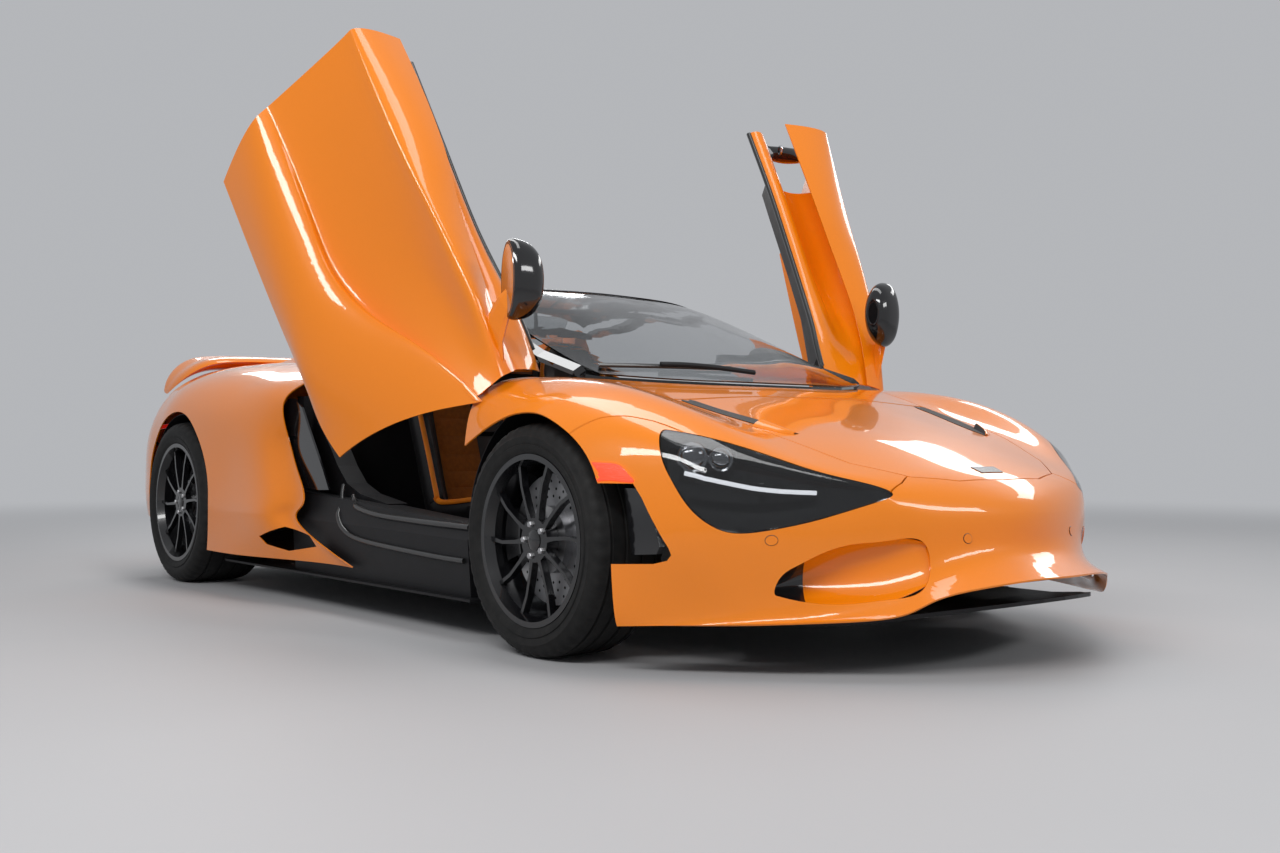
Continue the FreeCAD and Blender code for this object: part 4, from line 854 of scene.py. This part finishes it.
def build_scoop(side):
    """Recess of the lower intake: outboard, a black sheet as painted shade of the open duct, and a body-coloured
    lining towards the nose.
    """
    line = rounded([(x, y, deep) for x, y, _, _, deep in SCOOP_ROWS], closed=False)
    edge = rounded([(low, high, 0) for _, _, low, high, _ in SCOOP_ROWS], closed=False)
    rows = []
    offsets = [0.0, 0.0]
    for p, e in zip(line, edge):
        feet = []
        for k, z in enumerate((e.x - SCOOP_LAP, e.y + SCOOP_LAP)):
            spot = Vector((p.x, p.y, z))
            foot, _ = land(BUMPER, spot + SCOOP_AIM * SCOOP_AWAY, -SCOOP_AIM)
            if foot is not None and (foot - spot).length < SCOOP_REACH:
                offsets[k] = (foot - spot).dot(SCOOP_AIM)
            feet.append(spot + SCOOP_AIM * offsets[k])
        row = []
        for v in spaced(0.0, 1.0, SCOOP_COLUMNS):
            hollow = SCOOP_EDGE + (p.z - SCOOP_EDGE) * max(0.0, 4 * v * (1 - v)) ** SCOOP_FULLNESS
            row.append(on_side(feet[0].lerp(feet[1], v) - SCOOP_AIM * hollow, side))
        rows.append(row)
    for j in range(SCOOP_COLUMNS):
        for i in range(1, len(rows) - 1):
            rows[i][j] = (rows[i - 1][j] + rows[i][j] * 2 + rows[i + 1][j]) / 4
    if side == "right":
        rows = [row[::-1] for row in rows]
    lining = sheet("scoop_lining_" + side, rows[DUCT_ROWS:], SCOOP_SKIN, PAINT, "car_body")
    # Painted shade: this satin black sheet stands in for the dark open end of the intake.
    sheet("scoop_duct_" + side, rows[:DUCT_ROWS + 1], SCOOP_SKIN, SATIN, "car_body")
    if side == "left":
        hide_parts("bumper_scoops")


# ---------------------------------------------------------------- door trim and mirror glass
# Points of a door are those of the shut left door; door_frame carries them up.
MIRROR_CENTRE = Vector((0.565, 0.840, 0.955))
MIRROR_LONG = Vector((-0.873, -0.019, 0.487))
MIRROR_OUT = Vector((0.40, 0.55, 0.73)).normalized()
MIRROR_DEEP = MIRROR_LONG.cross(MIRROR_OUT).normalized()
MIRROR_GLASS = [(0.046, 0.104, 0.046), (0.0492, 0.104, 0.046), (0.0498, 0.060, 0.026),
                (0.0499, 0.002, 0.001)]  # depth, half length, half width
MIRROR_SIDES = 32
DOOR_EDGE = [(-0.446, 0.549, 0.789), (-0.137, 0.589, 0.785), (0.218, 0.625, 0.775), (0.480, 0.639, 0.783),
             (0.600, 0.641, 0.781), (0.690, 0.645, 0.777)]
DOOR_EDGE_R = 0.010
LATCH_X = (-0.446, -0.377)
LATCH_Y = (0.640, 0.790)
LATCH_Z = 0.729
LATCH_CROWN = 0.016
LATCH_FULLNESS = 0.4
LATCH_SKIN = 0.004
STRIKER_SPOT = (-0.410, 0.700)
STRIKER_LIFT = 0.010
STRIKER_HALF = 0.020
STRIKER_RISE = 0.026
STRIKER_R = 0.0045


def build_mirror_glass(side):
    """Slightly domed oval of mirror glass on one face of the mirror head."""
    turn = door_frame(side)
    verts = []
    for depth, long_half, wide_half in MIRROR_GLASS:
        for cosine, sine in circle(MIRROR_SIDES):
            p = MIRROR_CENTRE + MIRROR_DEEP * depth + MIRROR_LONG * (long_half * cosine)
            p += MIRROR_OUT * (wide_half * sine)
            verts.append(turn @ on_side(p, side))
    last = (len(MIRROR_GLASS) - 1) * MIRROR_SIDES
    faces = band_faces(len(MIRROR_GLASS), MIRROR_SIDES)
    faces.append([last + c for c in range(MIRROR_SIDES)])
    faces.append(list(range(MIRROR_SIDES))[::-1])
    piece("mirror_glass_" + side, verts, faces, CHROME, "door_%s_body" % side)


def build_door_trim(side):
    """Black edge strip along the inner lip of the door, and the latch cover and striker at its rear end."""
    turn = door_frame(side)
    body = "door_%s_body" % side
    edge = [turn @ on_side(p, side) for p in rounded(DOOR_EDGE, 8, closed=False)]
    tube("door_edge_trim_" + side, edge, DOOR_EDGE_R, SEAL, body)
    rows = []
    for u in spaced(0.0, 1.0, 9):
        row = []
        for v in spaced(0.0, 1.0, 13):
            crown = LATCH_CROWN * (math.sin(math.pi * u) * math.sin(math.pi * v)) ** LATCH_FULLNESS
            x = LATCH_X[0] + (LATCH_X[1] - LATCH_X[0]) * u
            y = LATCH_Y[0] + (LATCH_Y[1] - LATCH_Y[0]) * v
            row.append(turn @ on_side((x, y, LATCH_Z + crown), side))
        rows.append(row if side == "left" else row[::-1])
    sheet("door_latch_cover_" + side, rows, LATCH_SKIN, GLOSS, body)
    loop = []
    for t in spaced(0.0, math.pi, 13):
        x = STRIKER_SPOT[0] + STRIKER_HALF * math.cos(t)
        z = LATCH_Z + STRIKER_LIFT + STRIKER_RISE * math.sin(t)
        loop.append(turn @ on_side((x, STRIKER_SPOT[1], z), side))
    tube("door_striker_" + side, loop, STRIKER_R, CHROME, body, sides=8)


# ---------------------------------------------------------------- tail
TAIL = ("tail_panel",)
TAIL_RAY_X = -2.6
GRILLE_OUTLINE = [(-0.60, 0.520), (-0.54, 0.470), (-0.30, 0.452), (0.30, 0.452), (0.54, 0.470), (0.60, 0.520),
                  (0.60, 0.610), (0.52, 0.645), (0.0, 0.655), (-0.52, 0.645), (-0.60, 0.610)]
PLATE_OUTLINE = [(-0.255, 0.352), (0.255, 0.352), (0.255, 0.444), (-0.255, 0.444)]
TIP_SPOT = (-2.255, 0.095, 0.545)
TIP_SECTION = [(0.030, 0.0595), (-0.010, 0.0600), (-0.014, 0.0640), (-0.010, 0.0700), (0.012, 0.0900)]
TIP_SIDES = 40


def build_tail():
    """Mesh panel, blank plate and the rolled ends of both outlets."""
    outline = [Vector((TAIL_RAY_X, y, z)) for y, z in GRILLE_OUTLINE]
    patch("tail_mesh", outline, (1, 0, 0), TAIL, MESH, "car_body", height=0.002, cell=0.016)
    outline = [Vector((TAIL_RAY_X, y, z)) for y, z in PLATE_OUTLINE]
    patch("blank_rear_plate", outline, (1, 0, 0), TAIL, BLANK, "car_body", height=0.004, cell=0.04)
    verts, faces = [], []
    for side in SIDES:
        centre = on_side(TIP_SPOT, side)
        faces += band_faces(len(TIP_SECTION), TIP_SIDES, len(verts), closed=True)
        for depth, r in TIP_SECTION:
            verts += [centre + Vector((depth, cosine * r, sine * r)) for cosine, sine in circle(TIP_SIDES)]
    piece("exhaust_tip_rolls", verts, faces, EXHAUST, "car_body")


# ---------------------------------------------------------------- seats
SEAT_STATIONS = [
    # x, z, half width, height of the bolsters, from the front of the cushion to the top of the back
    (0.350, 0.300, 0.185, 0.012), (0.352, 0.335, 0.195, 0.030), (0.300, 0.352, 0.203, 0.052),
    (0.180, 0.335, 0.204, 0.062), (0.050, 0.315, 0.204, 0.070), (-0.060, 0.305, 0.204, 0.078),
    (-0.135, 0.330, 0.204, 0.088), (-0.172, 0.400, 0.204, 0.092), (-0.215, 0.520, 0.205, 0.090),
    (-0.262, 0.660, 0.206, 0.080), (-0.308, 0.790, 0.196, 0.055), (-0.336, 0.870, 0.176, 0.034),
    (-0.358, 0.935, 0.150, 0.026), (-0.374, 0.985, 0.112, 0.018), (-0.384, 1.008, 0.070, 0.006),
]
STATION_STEPS = 4
SEAT_MIDDLE = 0.306
SEAT_DEEP = 0.070
SEAT_LIP = 0.020
BOLSTER_BACK = 0.4  # share of a bolster's height that stands out behind it
# Shares of the half width: where the bolster starts and how far it climbs, and where its edge starts to fall.
BOLSTER_FROM = 0.42
BOLSTER_RUN = 0.42
EDGE_FROM = 0.88
EDGE_RUN = 0.12
EDGE_DROP = 0.35
LIP_FROM = 0.96
BAND_AT = 0.93
FACE_CROWN = 0.006
# Stations between the steps: first and last of the cushion's and the back's panels, and the shoulder.
INSERTS = {"cushion": (8, 22), "back": (27, 42)}
BAND_FIRST = 6
SHOULDER = 42
BAND_R = 0.011
BAND_LIFT = 0.004
HOOP_R = 0.009
HOOP_LIFT = 0.006
INSERT_HALF = 0.44
INSERT_EDGE_FROM = 0.38
INSERT_EDGE_RUN = 0.06
INSERT_LIFT = 0.003
CHANNEL_RISE = 0.007
CHANNEL_ROWS = 8


def seat_stations():
    """Middle point, face normal, half width and bolster height at each step along the seat."""
    line = rounded([(x, half, z) for x, z, half, _ in SEAT_STATIONS], STATION_STEPS, closed=False)
    rise = rounded([(bolster, 0, 0) for _, _, _, bolster in SEAT_STATIONS], STATION_STEPS, closed=False)
    out = []
    for i, p in enumerate(line):
        a, b = line[max(0, i - 1)], line[min(len(line) - 1, i + 1)]
        along = Vector((b.x - a.x, 0, b.z - a.z)).normalized()
        out.append((Vector((p.x, 0, p.z)), Vector((along.z, 0, -along.x)), p.y, rise[i].x))
    return out


def seat_point(station, t, lift=0.0):
    """Point of the seat's face: t runs from one edge (-1) to the other (1)."""
    middle, normal, half, rise = station
    share = min(1.0, max(0.0, (abs(t) - BOLSTER_FROM) / BOLSTER_RUN))
    roll = 0.5 - 0.5 * math.cos(math.pi * share)
    drop = max(0.0, (abs(t) - EDGE_FROM) / EDGE_RUN)
    height = rise * roll * (1 - EDGE_DROP * drop * drop) + lift + FACE_CROWN * (1 - t * t)
    return middle + normal * height + Vector((0, half * t, 0))


def in_place(points, side):
    """Points drawn about a seat's own middle line, at their place in the car."""
    return [on_side((p.x, SEAT_MIDDLE + p.y, p.z), side) for p in points]


def build_seat(side):
    """Shell with bolsters, pleated panels, and the piping along the bolsters and over the shoulder."""
    stations = seat_stations()
    across = spaced(-1, 1, 21)
    front, back = [], []
    for station in stations:
        _, normal, _, rise = station
        for t in across:
            p = seat_point(station, t)
            front.append(p)
            back.append(p - normal * (SEAT_DEEP + rise * BOLSTER_BACK if abs(t) < LIP_FROM else SEAT_LIP))
    faces = skin_faces(len(stations), len(across), turned=True)
    verts = in_place(front + back, side)
    shell = piece("seat_shell_" + side, verts, faces, LEATHER, "car_body")
    if side == "left":
        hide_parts("seats")
    for name, (first, last) in INSERTS.items():
        build_seat_insert(side, name, stations[first:last + 1])
    for name, t in (("inner", -BAND_AT), ("outer", BAND_AT)):
        edge = [seat_point(s, t, BAND_LIFT) for s in stations[BAND_FIRST:SHOULDER + 1]]
        tube("seat_band_%s_%s" % (name, side), in_place(edge, side), BAND_R, PIPING, "car_body", flat=0.6)
    shoulder = stations[SHOULDER:]
    hoop = [seat_point(s, -BAND_AT, HOOP_LIFT) for s in shoulder]
    hoop.append(seat_point(shoulder[-1], 0.0, HOOP_LIFT))
    hoop += [seat_point(s, BAND_AT, HOOP_LIFT) for s in shoulder[::-1]]
    tube("seat_hoop_" + side, in_place(hoop, side), HOOP_R, PIPING, "car_body")


def build_seat_insert(side, name, stations):
    """Pleated panel: sewn channels run across the seat, each one a soft roll."""
    across = spaced(-INSERT_HALF, INSERT_HALF, 13)
    fine = []
    for a, b in zip(stations, stations[1:]):
        for s in range(4):
            u = s / 4
            fine.append(tuple(p * (1 - u) + q * u for p, q in zip(a, b)))
    verts, faces = [], []
    for k, station in enumerate(fine):
        channel = abs(math.sin(math.pi * k / CHANNEL_ROWS))
        for t in across:
            edge = max(0.0, (abs(t) - INSERT_EDGE_FROM) / INSERT_EDGE_RUN)
            verts.append(seat_point(station, t, INSERT_LIFT + CHANNEL_RISE * channel ** 0.5 * (1 - edge)))
    cols = len(across)
    for i in range(len(fine) - 1):
        for j in range(cols - 1):
            a = i * cols + j
            faces.append([a, a + 1, a + cols + 1, a + cols])
    panel = piece("seat_insert_%s_%s" % (name, side), in_place(verts, side), faces, SUEDE, "car_body")


# ---------------------------------------------------------------- stage, lights, camera
CAMERA_SPOT = Vector((4.2073, -3.0403, 0.5914))
CAMERA_YAW = math.radians(50.52)
CAMERA_PITCH = math.radians(0.82)
SENSOR_MM = 36.0
LENS_MM = 37.06
FLOOR_SIZE = 80
BACKDROP = (0.46, 0.47, 0.49, 1)
FADE_FROM = 3.2
FADE_TO = 11.0
SKY = (0.62, 0.64, 0.67, 1)
SKY_STRENGTH = 0.42
LAMP_TARGET = Vector((0, 0, 0.5))
LAMPS = [
    # name, place, power in watts, width, length
    ("key_panel", (3.2, -4.6, 4.2), 200, 5.0, 0.8),
    ("roof_panel_light", (0.0, 0.0, 5.2), 110, 7.0, 1.2),
    ("nose_panel", (6.5, 1.5, 3.2), 60, 3.0, 0.7),
    ("tail_panel_light", (-6.0, 2.5, 3.6), 80, 4.0, 0.9),
    ("far_panel", (0.5, 5.5, 3.8), 60, 5.0, 0.7),
]


def seen_rays(node_tree):
    """One where a ray shows the backdrop: to the camera, in a reflection or through glass."""
    path = node_tree.nodes.new("ShaderNodeLightPath")
    seen = path.outputs["Is Camera Ray"]
    for ray in ("Is Glossy Ray", "Is Transmission Ray"):
        most = node_tree.nodes.new("ShaderNodeMath")
        most.operation = "MAXIMUM"
        node_tree.links.new(seen, most.inputs[0])
        node_tree.links.new(path.outputs[ray], most.inputs[1])
        seen = most.outputs[0]
    return seen


def floor_material():
    """Pale floor that fades into the backdrop far from the car."""
    m = Nodes("pale_floor", (0.50, 0.50, 0.51), 0.6)
    m.roughness(m.noise(3.0), 0.6, 0.68)
    x, y, _ = m.position()
    fade = m.add("ShaderNodeMapRange", interpolation_type="SMOOTHSTEP")
    fade.inputs["From Min"].default_value = FADE_FROM
    fade.inputs["From Max"].default_value = FADE_TO
    m.link(m.length(x, y), fade.inputs["Value"])
    glow = m.add("ShaderNodeEmission")
    glow.inputs["Color"].default_value = BACKDROP
    mix = m.add("ShaderNodeMixShader")
    m.link(m.calc("MULTIPLY", fade.outputs[0], seen_rays(m.tree)), mix.inputs[0])
    m.link(m.shader.outputs[0], mix.inputs[1])
    m.link(glow.outputs[0], mix.inputs[2])
    m.link(mix.outputs[0], m.tree.nodes["Material Output"].inputs["Surface"])
    return m.material


def build_stage():
    """Floor, and a world that lights the car from all round and shows the plain backdrop."""
    bpy.ops.mesh.primitive_plane_add(size=FLOOR_SIZE)
    floor = bpy.context.object
    floor.name = "studio_floor"
    floor.data.materials.append(floor_material())
    world = bpy.data.worlds.new("studio_world")
    bpy.context.scene.world = world
    world.use_nodes = True
    nodes, links = world.node_tree.nodes, world.node_tree.links
    light = nodes["Background"]
    light.inputs[0].default_value = SKY
    light.inputs[1].default_value = SKY_STRENGTH
    show = nodes.new("ShaderNodeBackground")
    show.inputs[0].default_value = BACKDROP
    show.inputs[1].default_value = 1.0
    mix = nodes.new("ShaderNodeMixShader")
    links.new(seen_rays(world.node_tree), mix.inputs[0])
    links.new(light.outputs[0], mix.inputs[1])
    links.new(show.outputs[0], mix.inputs[2])
    links.new(mix.outputs[0], nodes["World Output"].inputs[0])


def build_lights():
    for name, place, power, width, length in LAMPS:
        data = bpy.data.lights.new(name, "AREA")
        data.shape = "RECTANGLE"
        data.size = width
        data.size_y = length
        data.energy = power
        lamp = bpy.data.objects.new(name, data)
        lamp.location = place
        lamp.rotation_euler = (LAMP_TARGET - Vector(place)).to_track_quat("-Z", "Y").to_euler()
        bpy.context.scene.collection.objects.link(lamp)


def build_camera():
    data = bpy.data.cameras.new("studio_camera")
    data.sensor_width = SENSOR_MM
    data.lens = LENS_MM
    camera = bpy.data.objects.new("studio_camera", data)
    camera.location = CAMERA_SPOT
    aim = Vector((-math.sin(CAMERA_YAW) * math.cos(CAMERA_PITCH),
                  math.cos(CAMERA_YAW) * math.cos(CAMERA_PITCH), math.sin(CAMERA_PITCH)))
    camera.rotation_euler = aim.to_track_quat("-Z", "Y").to_euler()
    bpy.context.scene.collection.objects.link(camera)
    bpy.context.scene.camera = camera


dress_frame()
for end, side in CORNERS:
    build_tyre(end, side)
    build_hub_trim(end, side)
for side in SIDES:
    build_front_lamps(side)
    build_front_trim(side)
    build_seals(side)
    build_scoop(side)
    build_vent_lip(side)
    build_door_trim(side)
    build_mirror_glass(side)
    build_seat(side)
build_badge()
build_wiper()
build_tail()
build_stage()
build_lights()
build_camera()
bpy.context.scene.view_settings.view_transform = "Standard"
